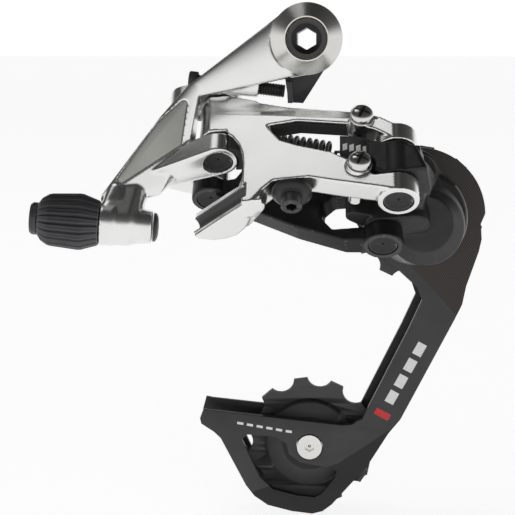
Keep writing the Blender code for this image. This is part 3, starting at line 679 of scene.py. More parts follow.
def hanger_pieces():
    bolt = turned(
        "bolt",
        [(5.7, 15.4), (5.7, 12.3), (4.8, 12.3), (4.8, 3.0)]
        + [(radius, 2.5 - 0.25 * k) for k in range(42) for radius in ((4.85,) if k % 2 else (4.45,))]
        + [(4.2, -8.6), (2.5, -9.2), (2.5, 13.2), (4.4, 13.8), (4.4, 15.4)],
        SIDE,
        steps=LARGE,
    )
    bolt = cut(bolt, plate("hex", hexagon(BOLT_HEX), SIDE, -10, 14))
    piece(bolt, BLACK_STEEL, "hanger_bolt")
    head = [(RING_R, 13.0), (RING_R - 0.3, 12.6), (6.0, 12.6), (6.0, 16.4), (6.15, 16.6), (6.5, 16.6)]
    piece(turned("ring", [*head, (RING_R, 13.4)], SIDE, steps=2 * LARGE), RING_SILVER, "bolt_head_ring")

    tab = [(-6.6, -11.0), (-5.4, -18.9), (-1.0, -19.1)]
    washer = arc((0, 0), STOP_PLATE_R, -45, 225, LARGE)
    stop = plate("stop", washer + tab, SIDE, 0, 2.1, [circle((0, 0), 5.2)])
    lug = plate("lug", [(-5.8, -12.6), (-4.2, -12.6), (-4.0, -18.7), (-5.4, -18.7)], SIDE, 1.5, 12.6)
    tooth = plate("tooth", [(-3.2, -18.7), (-1.2, -18.8), (-1.2, -15.6), (-3.2, -15.6)], SIDE, -2.5, 1.0)
    piece(eased(unite(stop, lug, tooth), 0.25), BLACK, "stop_plate")


# ------------------------------------ B-knuckle, the upper one

SCREW_START = (-34.8, -10.0, -11.9)
SCREW_END = (-6.2, -10.0, -15.3)
B_SCREW_AXIS = along(SCREW_START, SCREW_END)
B_SCREW_R = 2.0
SLEEVE_R = 3.0
ADJUSTER = along(*(world(x, ADJUSTER_P, q) for x, q in (ADJUSTER_START, ADJUSTER_END)))

WEB = [  # corners of the knuckle's body: x, z, corner radius and the two levels outboard
    (-33.2, -15.0, 2.0, 4, 16), (-41.3, -23.8, 1.8, 3, 18), (-57.0, -46.0, 2.5, 14, 24),
    (-44.0, -43.0, 2.5, 4, 21), (-37.5, -37.0, 2.0, -2, 17), (-35.5, -28.0, 2.0, 0, 17.5),
]
POCKET = [(-35.7, -18.9), (-37.4, -30.2), (-53.6, -40.6), (-43.2, -25.4)]
POCKET_DEPTH = 1.1


def front_level(obj, x, z):
    """Level outboard of an object's front face at x, z."""
    hit, place, _, _ = obj.ray_cast(Vector((x, -100.0, z)) * MM, Vector((0, 1, 0)))
    return -place.y / MM if hit else 0.0


ARM_END = (-33.2, -15.0)
STEP_R = 14.5  # foot of the cone that steps down from the boss to the arm
STRUT_END = (-49.5, -17.3)
STRUT_END_R = 3.6
UPPER_EAR = (-A_FORK[3], -A_FORK[2])  # levels of the ears on pins A and D, as -p
LOWER_EAR = (-A_FORK[1], -A_FORK[0])
INNER_EAR = (20.9, 33.1)


def b_knuckle():
    parts = [
        rod("boss", SIDE, (0, 0), 10.4, 2.4, 12.3, LARGE),
        bridge("arm", SIDE, ((0, 0), 10.3, 3.4, 10.0), (ARM_END, 2.0, 4, 16)),
        boolean(
            rod("step", SIDE, (0, 0), STEP_R, 8.0, 12.3, LARGE, top_radius=10.4),
            bridge("sides", SIDE, ((0, 0), 10.35, 3.0, 13), (ARM_END, 2.05, 3, 18)),
            "INTERSECT",
        ),
        bridge("web", SIDE, *(((x, z), *rest) for x, z, *rest in WEB), sides=24),
        bridge("upper_ear", PIVOT, (PIN_A, BOSS_R, *UPPER_EAR), ((-36.5, -13.5), 5.0, 11.0, 17.2)),
        bridge("strut", PIVOT, (PIN_A, BOSS_R, *LOWER_EAR), (STRUT_END, STRUT_END_R, 37.5, 43.0)),
        hull(
            "shoulder",
            pair(PIVOT, STRUT_END, STRUT_END_R, 38.0, 43.0)
            + pair(ADJUSTER, (0, 0), 6.0, 20.4, 28.5)
            + [(ADJUSTER, (0, 0), 5.0, 31.0)],
        ),
        bridge("inner_ear", PIVOT, (PIN_D, 5.5, *INNER_EAR), ((-39.0, -27.0), 5.0, *INNER_EAR)),
        rod("tube", ADJUSTER, (0, 0), 6.3, 20.1, 24.2),
        rod("cone", ADJUSTER, (0, 0), 6.05, 24.0, 35.2, top_radius=4.7),
        hull("neck", pair(ADJUSTER, (0, 0), 5.5, 20.3, 27.0) + pair(SIDE, (-55.0, -45.0), 3.2, 15, 24)),
        rod("screw_housing", B_SCREW_AXIS, (0, 0), 2.9, 6.0, 21.0),
    ]
    knuckle = fused("knuckle", parts)
    bpy.context.view_layer.update()
    corners = [(x, z, front_level(knuckle, x, z) - POCKET_DEPTH) for x, z in POCKET]
    room = [((x, z), 1.2, level, level + 8) for x, z, level in corners]
    notch = along((-53.0, -29.5, -42.5), (-47.0, -29.5, -43.5))
    knuckle = cut(
        knuckle,
        bridge("pocket", SIDE, *room, sides=16),
        rod("ring_room", SIDE, (0, 0), RING_R + 0.4, 12.3, 20, LARGE),
        rod("a_head", PIVOT, PIN_A, PIN_HEAD_R + HEAD_GAP, 36.4, 42),
        rod("b_screw_hole", B_SCREW_AXIS, (0, 0), B_SCREW_R + GAP, -1, 24),
        rod("head_seat", B_SCREW_AXIS, (0, 0), 3.0, -4, 3.2),
        rod("sleeve_hole", ADJUSTER, (0, 0), SLEEVE_R + GAP, 18, 27.0),
        rod("link_room", PIVOT, PIN_A, 7.0, 17.3, 32.5),
        rod("notch", notch, (0, 0), 2.6, 0, 14),
    )
    knuckle = forged(knuckle, 0.26, 3)
    knuckle = cut(
        knuckle,
        rod("bore", SIDE, (0, 0), 6.3, 1, 14, LARGE),
        rod("a_hole", PIVOT, PIN_A, PIN_R + GAP, 10, 45),
        rod("d_hole", PIVOT, PIN_D, BUSH_R + GAP, 19, 35),
        rod("cable_hole", ADJUSTER, (0, 0), 1.5, 26, 38),
    )
    piece(knuckle, SILVER, "b_knuckle")

    # Painted shade: a dim silver sheet at the pocket's floor.
    pocket_shade_corners = [((x, z), 0.8, level - 0.5, level + 0.2) for x, z, level in corners]
    extra("pocket_shade", bridge("floor", SIDE, *pocket_shade_corners, sides=16), POCKET_SHADE_SILVER, "b_knuckle")


PIN_HEAD = 1.9  # thickness of a pin's head
PIN_BORE_R = 0.6


def pin(name, centre, low, high):
    """Pivot pin with a shallow dished head at its lower end."""
    dish = [(PIN_HEAD_R * (1 - k / 6), -low - 0.45 * sin(k * pi / 12)) for k in range(1, 6)]
    profile = [
        (PIN_R, -high),
        (PIN_R, -low - PIN_HEAD),
        (PIN_HEAD_R, -low - PIN_HEAD),
        (PIN_HEAD_R, -low - 0.2),
        (PIN_HEAD_R - 0.2, -low),
        *dish,
        (PIN_BORE_R, -low - 0.45),
        (PIN_BORE_R, -high),
    ]
    piece(turned(name, profile, PIVOT, centre), PIN_BLACK_AND_SHADE, name)


RIBS = 20  # grip ribs round the barrel adjuster
RIB_DEPTH = 0.055  # as a share of the radius
RIB_INSIDE = 6.15  # the ribs lie outside this radius and between these heights
RIB_LOW = 3.0
RIB_HIGH = 19.6
BARREL = [
    *[(4.9, 2.3), (6.2, 3.2), (7.35, 5.0), (7.6, 6.0), (8.2, 14.0), (8.1, 15.0), (6.6, 19.4), (6.3, 19.8)],
    *[(3.4, 19.8), (3.4, 9.0), (2.8, 9.0), (2.8, 2.3)],
]


def cable_pieces():
    barrel = turned("barrel", BARREL, ADJUSTER, steps=8 * RIBS)
    for vertex in barrel.data.vertices:
        radius = hypot(vertex.co.x, vertex.co.y)
        angle = atan2(vertex.co.y, vertex.co.x)
        height = vertex.co.z / MM
        if radius > RIB_INSIDE * MM and RIB_LOW < height < RIB_HIGH:
            scale = 1 - RIB_DEPTH * max(0.0, cos(RIBS * angle)) ** 3
            vertex.co.x *= scale
            vertex.co.y *= scale
    piece(barrel, POLYMER, "barrel_adjuster", smooth=28)
    end_ring = turned(
        "end_ring",
        [(4.7, 1.9), (4.7, 0.7), (4.2, 0.0), (2.9, 0.0), (2.9, 1.2), (1.4, 1.2), (1.4, 1.9)],
        ADJUSTER,
        steps=LARGE,
    )
    piece(end_ring, BLACK_STEEL, "adjuster_end_ring")
    cap = [(4.2, 36.2), (4.2, 35.5), (1.5, 35.5), (1.5, 37.0), (2.4, 36.95), (3.4, 36.7)]
    piece(turned("cap", cap, ADJUSTER, steps=LARGE), BLACK, "cable_end_cap")


def threaded(low, high, radius, pitch=0.8, depth=0.28):
    """Profile points of a screw's thread, from its high end down to its low end."""
    count = int((high - low) / pitch * 2)
    return [(radius - depth * (k % 2), high - k * pitch / 2) for k in range(count)]


def b_screw():
    profile = [(1.6, 28.6), *threaded(4.0, 28.2, B_SCREW_R), (1.7, 3.0), (2.6, 2.6), (2.6, 0.3), (2.3, 0.0)]
    screw = turned("b_screw", [*profile, (0.4, 0.0), (0.4, 28.6)], B_SCREW_AXIS)
    screw = cut(screw, plate("socket", hexagon(2.0), B_SCREW_AXIS, -1, 1.4))
    piece(screw, BLACK_STEEL, "b_screw", smooth=25)


# ------------------------------------ outer link

EAR_ROOM_R = 6.9  # round the upper knuckle's lower ear
EAR_GAP_R = 6.15
SHADE_CRESCENT_CENTRE = (2.9, -0.2)  # of the painted shade crescent in the gap between that ear and the link
SHADE_CRESCENT_R = 5.9
SHADE_CRESCENT_ARC = (-50, 70)  # degrees
SHADE_CRESCENT_GAP_ARC = (50, -45)
SHADE_CRESCENT_LEVELS = (33.0, 39.0)
ANCHOR = (22.6, 2.0)  # along the link and outboard
HIGH_HEAD = (42.6, -51.1, 6.8)  # limit screws: along the link, along the pins and outboard
LOW_HEAD = (43.3, -34.1, 6.8)
SCREW_TILT = (-0.24, 0, -0.97)
LINK_FACE = 5.95  # outboard face of the link, from the pins' plane
FAR_END = (LINK_LENGTH, 0)
CABLE_GUIDE = [
    (-8.0, -7.7), (-6.8, -9.2), (-3.0, -10.5), (0.9, -10.4), (4.5, -9.2), (7.4, -6.6), (10.5, -1.0),
    (14.3, 1.0), (14.8, 5.6), (11.6, 5.8),
]
CABLE_GROOVE = [(-9.5, -8.1), (13.0, 7.4)]  # its ends, along the link and outboard
GROOVE_LEVEL = 55.4
GROOVE_R = 2.5
GROOVE_LENGTH = 24
GROOVE_SHADE_R = 2.75
GROOVE_SHADE_BORE = 2.3
OUTER_LINK = [  # along the link and along the pins
    (-2.0, -17.6), (4.2, -19.0), (20.4, -25.0), (37.5, -29.2), (45.7, -32.0),
    (LINK_LENGTH, B_FORK[3]), (LINK_LENGTH, B_FORK[2]), (46.5, -38.4), (40.4, -35.6), (24.3, -31.8),
    (15.4, -32.3), (19.5, -38.4), (24.4, -41.0), (34.5, -45.1), (39.3, -48.6), (46.5, B_FORK[1]),
    (LINK_LENGTH, B_FORK[1]), (LINK_LENGTH, B_FORK[0]), (34.0, -55.4), (28.0, -53.4), (18.0, -53.2),
    (15.0, -55.8), (11.6, -59.8), (9.0, -59.8), (9.0, -46.0), (8.6, -42.0), (7.4, -38.4),
    (5.4, -35.2), (3.0, -33.0), (0.4, -31.9), (-2.0, -31.9),
]


def link_point(x, p, n):
    return (OUTER_FACE @ (Vector((x, p, n)) * MM)) / MM


CREASE = [  # upper facet of the link's face: along the link, along the pins and outboard
    (-6.0, -24.3, 6.0), (48.0, -35.4, 6.0), (-6.0, -14.0, 5.0), (48.0, -29.5, 4.0),
    (-6.0, -24.3, 12.0), (48.0, -35.4, 12.0), (-6.0, -14.0, 12.0), (48.0, -29.5, 12.0),
]


WALL_FRONT = 5.2  # levels of the window's upper wall, outboard of the pins' plane
WALL_BACK = -2.5
WALL_RISE = 1.4
SHADE_LINING = 0.4  # thickness of the dark sheet of painted shade on the window's upper wall
SHADE_LINING_FRONT = 5.1
SHADE_LINING_BACK = -0.9
WINDOW_WALLS = [((16.5, -32.2), (24.3, -31.8)), ((24.3, -31.8), (38.4, -35.1))]


def undercut(start, end):
    """Corners of a wedge that thins the upper arm behind the window's edge from start to end."""
    corners = []
    for x, p in (start, end):
        corners += [(x, p - 0.3, WALL_FRONT), (x, p - 0.3, WALL_BACK), (x, p + WALL_RISE, WALL_BACK)]
    return corners


def shade_lining(start, end):
    """Corners of the thin dark sheet of painted shade on the same wall."""
    corners = []
    for x, p in (start, end):
        for depth in (0.0, SHADE_LINING):
            corners += [(x, p - 0.25 - depth, SHADE_LINING_FRONT), (x, p + WALL_RISE - depth, SHADE_LINING_BACK)]
    return corners


def wedge(name, points):
    """Body round points of the outer link's frame, in millimetres."""
    return hull(name, [(OUTER_FACE, (x, p), 0.05, n) for x, p, n in points], 6)


def limit_axis(head):
    return along(link_point(*head), link_point(*(a + b for a, b in zip(head, SCREW_TILT))))


HIGH_AXIS = limit_axis(HIGH_HEAD)
LOW_AXIS = limit_axis(LOW_HEAD)


def outer_link():
    parts = [
        eased(plate("body", OUTER_LINK, OUTER_FACE, -1.2, LINK_FACE), 2.3, 5, 20),
        hull(
            "block",
            pair(OUTER_PIVOT, (0, 0), BOSS_R, 17.8, 32.1)
            + pair(OUTER_PIVOT, (9, 1.6), 4.1, 21.0, 32.1)
            + [(OUTER_PIVOT, (1.5, 0.6), 5.3, 18.4)],
        ),
        rod("lower_boss", OUTER_PIVOT, FAR_END, BOSS_R, -B_FORK[1], -B_FORK[0], LARGE),
        rod("upper_boss", OUTER_PIVOT, FAR_END, BOSS_R, -B_FORK[2], -B_FORK[3], LARGE),
        plate("guide", CABLE_GUIDE, OUTER_PIVOT, 51.0, 59.6),
        bridge("blend", OUTER_PIVOT, ((12.3, 2.4), 2.9, 44.0, 59.0), ((7.0, -3.6), 3.0, 53.5, 59.2)),
        rod("high_boss", HIGH_AXIS, (0, 0), 3.7, 0.2, 7.0),
        rod("low_boss", LOW_AXIS, (0, 0), 3.3, 0.2, 6.5),
    ]
    link = fused("link", parts, 0.28, 4)
    groove = along(*(link_point(x, -GROOVE_LEVEL, n) for x, n in CABLE_GROOVE))
    link = cut(
        link,
        wedge("crease", CREASE),
        *(wedge("wall", undercut(*wall)) for wall in WINDOW_WALLS),
        rod("groove", groove, (0, 0), GROOVE_R, -1, GROOVE_LENGTH),
        rod("ear_room", OUTER_PIVOT, (0, 0), EAR_ROOM_R, 32.2, 44, LARGE),
    )
    link = forged(link, 0.26, 4)
    link = cut(
        link,
        rod("a_hole", OUTER_PIVOT, (0, 0), BUSH_R + GAP, 15, 34),
        rod("b_hole", OUTER_PIVOT, FAR_END, PIN_R + GAP, 35, 62),
        rod("b_head", OUTER_PIVOT, FAR_END, PIN_HEAD_R + HEAD_GAP, 58.4, 63),
        rod("anchor_hole", OUTER_PIVOT, ANCHOR, 2.8, 45.5, 55),
        rod("high_hole", HIGH_AXIS, (0, 0), 2.2, -1, 12),
        rod("low_hole", LOW_AXIS, (0, 0), 2.2, -1, 12),
    )
    piece(link, SILVER, "outer_link")

    # Painted shade: a black crescent filling the gap round the upper knuckle's lower ear.
    crescent = arc(SHADE_CRESCENT_CENTRE, SHADE_CRESCENT_R, *SHADE_CRESCENT_ARC, 24) + arc((0, 0), EAR_GAP_R, *SHADE_CRESCENT_GAP_ARC, 24)
    shade_crescent = plate("ear_gap_shade", crescent, OUTER_PIVOT, *SHADE_CRESCENT_LEVELS)
    extra("ear_gap_shade", shade_crescent, RUBBER_AND_SHADE, "outer_link")
    # Painted shade: a black tube laid in the cable groove.
    groove_shade = rod("groove_shade", groove, (0, 0), GROOVE_SHADE_R, 0, GROOVE_LENGTH)
    groove_shade = cut(groove_shade, rod("inside", groove, (0, 0), GROOVE_SHADE_BORE, -1, GROOVE_LENGTH + 1))
    groove_shade = boolean(groove_shade, plate("room", CABLE_GUIDE, OUTER_PIVOT, 51.1, 59.4), "INTERSECT")
    extra("guide_groove_shade", groove_shade, PIN_BLACK_AND_SHADE, "outer_link")
    # Painted shade: thin black sheets over the window's upper wall.
    for index, wall in enumerate(WINDOW_WALLS):
        extra(f"window_shade_{index}", wedge("shade_lining", shade_lining(*wall)), RUBBER_AND_SHADE, "outer_link")


def anchor_pieces():
    bolt = turned(
        "bolt",
        [(2.8, 60.4), (3.0, 60.2), (3.0, 57.2), (2.5, 57.2), (2.5, 46.0), (0.8, 46.0), (0.8, 60.4)],
        OUTER_PIVOT,
        ANCHOR,
    )
    bolt = cut(bolt, plate("socket", hexagon(2.9, ANCHOR), OUTER_PIVOT, 57.8, 61))
    piece(bolt, BLACK_STEEL, "cable_anchor_bolt")
    washer = [(4.4, 56.9), (5.5, 56.1), (5.7, 55.7), (5.7, 54.7), (4.4, 53.6), (2.8, 53.6), (2.8, 56.9)]
    piece(turned("washer", washer, OUTER_PIVOT, ANCHOR), BLACK, "cable_clamp_washer")


SLOT_REACH = 2.0  # half length of a cross recess's slots
SLOT_HALF = 0.36  # half width
SLOT_TURNS = (25, 115)
SHANK_R = 1.9
HIGH_LENGTH = 16.6
LOW_LENGTH = 9.0


def cross_slot(frame, half, low, high):
    """Body along one slot of a cross recess."""
    ends = [((x, 0), half, low, high) for x in (-SLOT_REACH, SLOT_REACH)]
    return bridge("slot", frame, *ends, sides=12)


def limit_screw(name, axis, length):
    """Domed cross-head screw with its head's underside at the start of its axis."""
    dome = [(3.4 * cos(radians(a)) ** 0.8, -0.5 - 2.1 * sin(radians(a))) for a in range(0, 84, 12)]
    shank = [(1.5, length), *threaded(1.0, length - 0.3, SHANK_R, 0.7, 0.25), (1.6, 0.4)]
    screw = turned(name, [*shank, (1.9, -0.1), (3.3, -0.3), *dome, (0.3, -2.6), (0.3, length)], axis)
    cross = []
    for index, turn in enumerate(SLOT_TURNS):
        spun = axis @ Matrix.Rotation(radians(turn), 4, "Z")
        cross.append(cross_slot(spun, SLOT_HALF, -3.2, -1.3))
        # Painted shade: a black slab down in each slot of the cross recess.
        floor = cross_slot(spun, SLOT_HALF + 0.05, -1.95, -1.1)
        extra(f"{name}_slot_{index}", floor, RUBBER_AND_SHADE, name)
    piece(cut(screw, *cross), STEEL, name, smooth=30)


# ------------------------------------ inner link

INNER_LINK = [  # along the link and along the pins
    (0, D_FORK[3]), (22.0, -27.0), (LINK_LENGTH, C_FORK[3]), (LINK_LENGTH, C_FORK[2]),
    (38.0, -44.4), (34.8, -47.2), (34.8, -52.0), (38.0, -56.4), (LINK_LENGTH, C_FORK[1]),
    (LINK_LENGTH, C_FORK[0]), (41.0, -60.6), (27.0, -54.0), (12.0, -45.0), (0, D_FORK[0]),
    (0, D_FORK[1]), (8.0, -33.4), (10.0, -30.5), (10.0, -24.0), (8.0, -20.7), (0, D_FORK[2]),
]


def inner_link():
    parts = [eased(plate("body", INNER_LINK, INNER_FACE, -3.5, 3.5), 1.2, 3)]
    for centre, fork in (((0, 0), D_FORK), (FAR_END, C_FORK)):
        for low, high in ((fork[0], fork[1]), (fork[2], fork[3])):
            parts.append(rod("boss", INNER_PIVOT, centre, BOSS_R, -high, -low, LARGE))
    link = cut(
        fused("link", parts, 0.28, 4),
        rod("d_hole", INNER_PIVOT, (0, 0), PIN_R + GAP, 15, 39),
        rod("d_head", INNER_PIVOT, (0, 0), PIN_HEAD_R + HEAD_GAP, 35.4, 40),
        rod("c_hole", INNER_PIVOT, FAR_END, PIN_R + GAP, 38, 63),
        rod("c_head", INNER_PIVOT, FAR_END, PIN_HEAD_R + HEAD_GAP, 59.4, 64),
    )
    piece(link, BLACK, "inner_link")


# ------------------------------------ P-knuckle, the lower one

EYE_LEVELS = (-B_FORK[2] + 0.6, -B_FORK[1] - 0.6)  # the knuckle's eye on pin B, as -p
BOX_ACROSS = [(12, -4), (12, 4), (31.4, 4), (33.5, -3), (33.5, -13), (24.8, -13), (20, -9), (15, -6.4)]
BOX_FACE = [  # the box between the outer link's arms: along the link and along the pins
    (34.0, -36.6), (41.0, -37.6), (46.5, -40.2), (50.0, -43.3), (61.0, -43.3), (61.0, -54.3),
    (50.5, -53.4), (46.2, -51.3), (39.3, -47.3), (34.0, -45.0),
]
COVER_FACE = [(36.6, -38.2), (41.6, -39.2), (45.2, -41.0), (45.2, -50.2), (40.0, -47.0), (36.6, -45.4)]
COVER_MARKS = [(37.4, -41.5), (39.3, -42.1), (41.2, -42.7), (43.1, -43.3)]
HIGH_STOP = (13.8, -16.4)  # lug that the high limit screw meets
ARM_ROOM_R = 6.2  # room for the links' arms round pins B and C
VALLEY_R = 5.2  # hollow flank between the bell's front ridge and its rim
VALLEY = [
    (33.0, -8.5, -27.0), (38.0, -9.0, -32.0), (42.0, -9.0, -37.0), (46.3, -9.5, -43.8),
    (50.4, -10.0, -50.8), (52.4, -10.5, -56.6), (53.0, -11.0, -61.5),
]
PANEL = [(44.0, -41.4), (54.5, -43.4), (58.5, -46.0), (61.2, -54.2), (48.0, -54.0), (44.0, -50.8)]
RIM_HIGHLIGHT_POINTS = arc(UPPER, 14.7, 42, -38, 26)  # painted highlight line round the bell's edge
RIM_HIGHLIGHT_R = 0.3


def p_knuckle():
    corners = [(x, q) for x in (25.8, 33.2) for q in (-13.0, -10.3)]
    box = plate("box", BOX_ACROSS, PIVOT, 36, 56)
    box = boolean(box, plate("seen", BOX_FACE, OUTER_FACE, -20, 2.6), "INTERSECT")
    parts = [
        hull(
            "bell",
            pair(SIDE, UPPER, 15.0, -1.6, 0.8)
            + [(SIDE, (35.2, -54.6), 11.4, 18.0), (SIDE, (34.6, -53.0), 8.2, 22.6)],
            LARGE,
        ),
        bridge("crown", SIDE, ((33.0, -40.5), 7.5, -1.6, 3.0), (UPPER, 14.7, -1.5, 0.9), sides=64),
        hull(
            "shoulder",
            pair(SIDE, (33.0, -40.6), 7.2, -1.4, 2.8)
            + [disc for corner in corners for disc in pair(PIVOT, corner, 0.3, 43.4, 54.2)],
        ),
        box,
        eased(plate("panel", PANEL, OUTER_FACE, -6, 5.2), 1.0, 3),
        rod("b_eye", PIVOT, PIN_B, BOSS_R, *EYE_LEVELS),
        bridge("c_eye", PIVOT, (PIN_C, 5.6, 45.5, 56.3), ((31.0, -20.0), 5.0, 46.5, 55.5)),
        bridge("lug", PIVOT, (HIGH_STOP, 2.2, 47.2, 55.0), ((21.0, -20.0), 3.5, 47.2, 55.0)),
    ]
    knuckle = fused("knuckle", parts, 0.3, 2)
    knuckle = cut(
        knuckle,
        wire("valley", VALLEY, VALLEY_R),
        rod("c_low_room", PIVOT, PIN_C, ARM_ROOM_R, 56.6, 68, LARGE),
        rod("c_high_room", PIVOT, PIN_C, ARM_ROOM_R, 34, 45.2, LARGE),
        rod("b_low_room", PIVOT, PIN_B, ARM_ROOM_R, 54.6, 68, LARGE),
        rod("b_high_room", PIVOT, PIN_B, ARM_ROOM_R, 30, 43.0, LARGE),
        rod("high_screw_room", HIGH_AXIS, (0, 0), 4.4, -6, 9),
    )
    knuckle = forged(knuckle, 0.28, 3)
    # Painted highlight: a pale thin line laid along the bell's rim.
    rim_highlight = wire("rim_highlight", [(x, -front_level(knuckle, x, z), z) for x, z in RIM_HIGHLIGHT_POINTS], RIM_HIGHLIGHT_R)
    extra("bell_rim_highlight", rim_highlight, RIM_HIGHLIGHT_PAINT, "p_knuckle")
    knuckle = cut(
        knuckle,
        rod("b_hole", PIVOT, PIN_B, BUSH_R + GAP, 40, 58),
        rod("c_hole", PIVOT, PIN_C, BUSH_R + GAP, 43, 59),
        rod("spring_room", SIDE, UPPER, 9.4, -3, 11.5, LARGE),
        rod("axle_hole", SIDE, UPPER, 5.4, 10, 19.5),
    )
    piece(knuckle, KNUCKLE_PAINT, "p_knuckle")


def p_knuckle_pieces():
    cover = plate("cover", COVER_FACE, OUTER_FACE, 2.9, 4.2)
    cover = cut(cover, rod("high_screw_room", HIGH_AXIS, (0, 0), 4.4, -6, 9))
    piece(eased(cover, 0.2), BLACK, "p_knuckle_cover")
    for index, (x, p) in enumerate(COVER_MARKS):
        across = [(x, p), (x + 1.3, p + 0.35), (x + 1.3, p - 2.0), (x, p - 2.35)]
        mark = plate("mark", across, OUTER_FACE, 4.1, 4.2 + PRINT)
        extra(f"cover_mark_{index}", mark, WHITE_PRINT, "p_knuckle_cover")
    points = coil((UPPER[0], -10.6, UPPER[1]), (UPPER[0], 0.4, UPPER[1]), 7.6, 5, 32)
    piece(wire("torsion", points, 0.85), STEEL, "cage_torsion_spring")


def return_spring():
    hook_start = [world(-24.0, -17.9, -18.2), world(-18.5, -21.5, -18.6)]
    turns = coil(world(-13.0, -26.0, -16.6), world(8.0, -33.5, -13.2), 2.7, 11, 24)
    hook_end = [world(11.0, -36.5, -9.6)]
    spring = wire("return_spring", hook_start + turns + hook_end, 0.55)
    piece(spring, BLACK_STEEL, "return_spring")


# ------------------------------------ pulley cage

WINDOW = [
    (-20.2, -126.4), (-18.3, -124.7), (-9.3, -125.3), (-5.8, -127.5), (-5.0, -131.0),
    (-1.5, -133.6), (1.9, -134.3), (8.8, -135.3), (10.3, -136.6), (9.7, -138.9), (5.4, -144.3),
    (3.3, -145.5), (-2.3, -144.9), (-10.1, -142.8), (-14.4, -138.8),
]
CHAIN_TAB = [(17.6, -133.6), (21.4, -135.6), (20.4, -140.6), (16.4, -142.4), (13.6, -139.4)]
SOCKET = 2.9  # across flats, of the pulley bolts


def cage_outline(inset=0.0):
    """Outline of a cage plate: round over the upper pulley, one arm, and a foot round the lower."""
    crown = arc(UPPER, 21.0 - 2 * inset, 104, 2, 32)
    flank = arc(UPPER, 17.0, 216, 128, 24)
    arm_front = [(18.2, -119.2), (32.2, -90.1), (36.4, -80.5), (35.0, -76.6)]
    return (
        [(x - inset, z) for x, z in arm_front]
        + [(29.5, -71.6)]
        + flank
        + crown
        + [(54.0, -56.3), (54.4, -61.1), (53.6, -65.0), (50.0, -75.9), (48.9, -81.7), (46.6, -86.6)]
        + [(30.3, -119.1), (26.6, -123.7), (20.1, -134.7), (8.9, -147.8), (5.9, -150.2), (2.5, -151.1)]
        + [(-4.0, -150.3), (-11.8, -148.2), (-16.1, -145.1), (-18.8, -141.6), (-26.9, -126.0)]
        + [(-29.1, -123.9), (-33.1, -121.3), (-33.5, -119.5), (-32.4, -116.6 + inset)]
        + [(-30.3, -117.0 + inset), (12.1, -121.3 + inset), (15.0, -121.0 + inset), (16.7 - inset, -119.8)]
    )


def side_plate(name, outline, low, high, holes=()):
    """Plate between two world Y levels."""
    return plate(name, outline, SIDE, -high, -low, holes)


def cage_pieces():
    holes = [circle(UPPER, 3.2), circle(LOWER, 4.3), WINDOW]
    outer = side_plate("outer", cage_outline(), *OUTER_PLATE_Y, holes)
    foot = hull("foot", [(SIDE, point, 0.1, level) for point, level in FOOT_WEDGE], 6)
    piece(eased(cut(outer, foot), 0.3, 3), CARBON, "cage_outer_plate")
    holes = [circle(UPPER, 2.8), circle(LOWER, 2.8), WINDOW]
    inner = side_plate("inner", cage_outline(1.2), *INNER_PLATE_Y, holes)
    inner = unite(inner, side_plate("tab", CHAIN_TAB, INNER_PLATE_Y[0] - 1.6, INNER_PLATE_Y[1] - 0.3))
    piece(eased(inner, 0.3, 2), BLACK, "cage_inner_plate")
    lower = [(3.95, -3.2), (3.95, -5.1), (3.75, -5.3), (2.5, -5.3), (2.5, -16.0), (0.5, -16.0), (0.5, -3.2)]
    pulley_bolt("lower_pulley_bolt", LOWER, lower, (-4.6, -2.5))
    upper = [(4.4, -18.6), (4.6, -18.4), (4.6, -16.5), (2.5, -16.5), (2.5, -0.4), (0.5, -0.4), (0.5, -18.6)]
    pulley_bolt("upper_pulley_bolt", UPPER, upper, (-19, -17.0))


PRINT = 0.03  # how far a printed mark stands off its face
FOOT_WEDGE = [  # thins the plate below the lower pulley, outboard side: corners and levels
    ((-17.0, -143.8), -3.3), ((8.8, -135.1), -3.3), ((27.4, -122.2), -3.3), ((-17.0, -143.8), 1.0),
    ((8.8, -135.1), 1.0), ((27.4, -122.2), 1.0), ((-12.0, -158.0), -4.3), ((20.0, -152.0), -4.3),
    ((34.0, -128.0), -4.0), ((-12.0, -158.0), 1.0), ((20.0, -152.0), 1.0), ((34.0, -128.0), 1.0),
]


def bar(name, look, middle, size, turn):
    """Printed bar of a length and width on the cage's outer plate, turned in degrees from level."""
    half_length, half_width = size[0] / 2, size[1] / 2
    outline = []
    for x, y in ((-1, -1), (1, -1), (1, 1), (-1, 1)):
        corner = Matrix.Rotation(radians(turn), 2) @ Vector((x * half_length, y * half_width))
        outline.append((middle[0] + corner.x, middle[1] + corner.y))
    mark = side_plate("mark", outline, OUTER_PLATE_Y[0] - PRINT, OUTER_PLATE_Y[0] + 0.1)
    extra(name, mark, look, "cage_outer_plate")


ARM_TURN = 62  # degrees from level of the cage's arm
ARM_MARKS = [(35.9, -96.2), (33.1, -101.4), (30.3, -106.6), (27.5, -111.8)]
ARM_MARK = (4.2, 3.0)
RED_MIDDLE = (24.6, -117.4)
RED_MARK = (2.2, 5.0)
FOOT_MARKS = 6
FOOT_START = (-20.6, -121.0)
FOOT_STEP = (3.1, -0.5)
FOOT_MARK = (2.0, 0.8)
FOOT_TURN = -9


def cage_marks():
    for index, middle in enumerate(ARM_MARKS):
        bar(f"arm_mark_{index}", WHITE_PRINT, middle, ARM_MARK, ARM_TURN)
    bar("arm_mark_red", RED_PRINT, RED_MIDDLE, RED_MARK, ARM_TURN)
    for index in range(FOOT_MARKS):
        middle = (FOOT_START[0] + FOOT_STEP[0] * index, FOOT_START[1] + FOOT_STEP[1] * index)
        bar(f"foot_mark_{index}", WHITE_PRINT, middle, FOOT_MARK, FOOT_TURN)


def pulley_bolt(name, centre, profile, socket):
    """Turned bolt through a pulley, with a hexagon socket between two levels of its head."""
    bolt = turned(name, profile, SIDE, centre)
    piece(cut(bolt, plate("socket", hexagon(SOCKET, centre), SIDE, *socket)), STEEL, name)


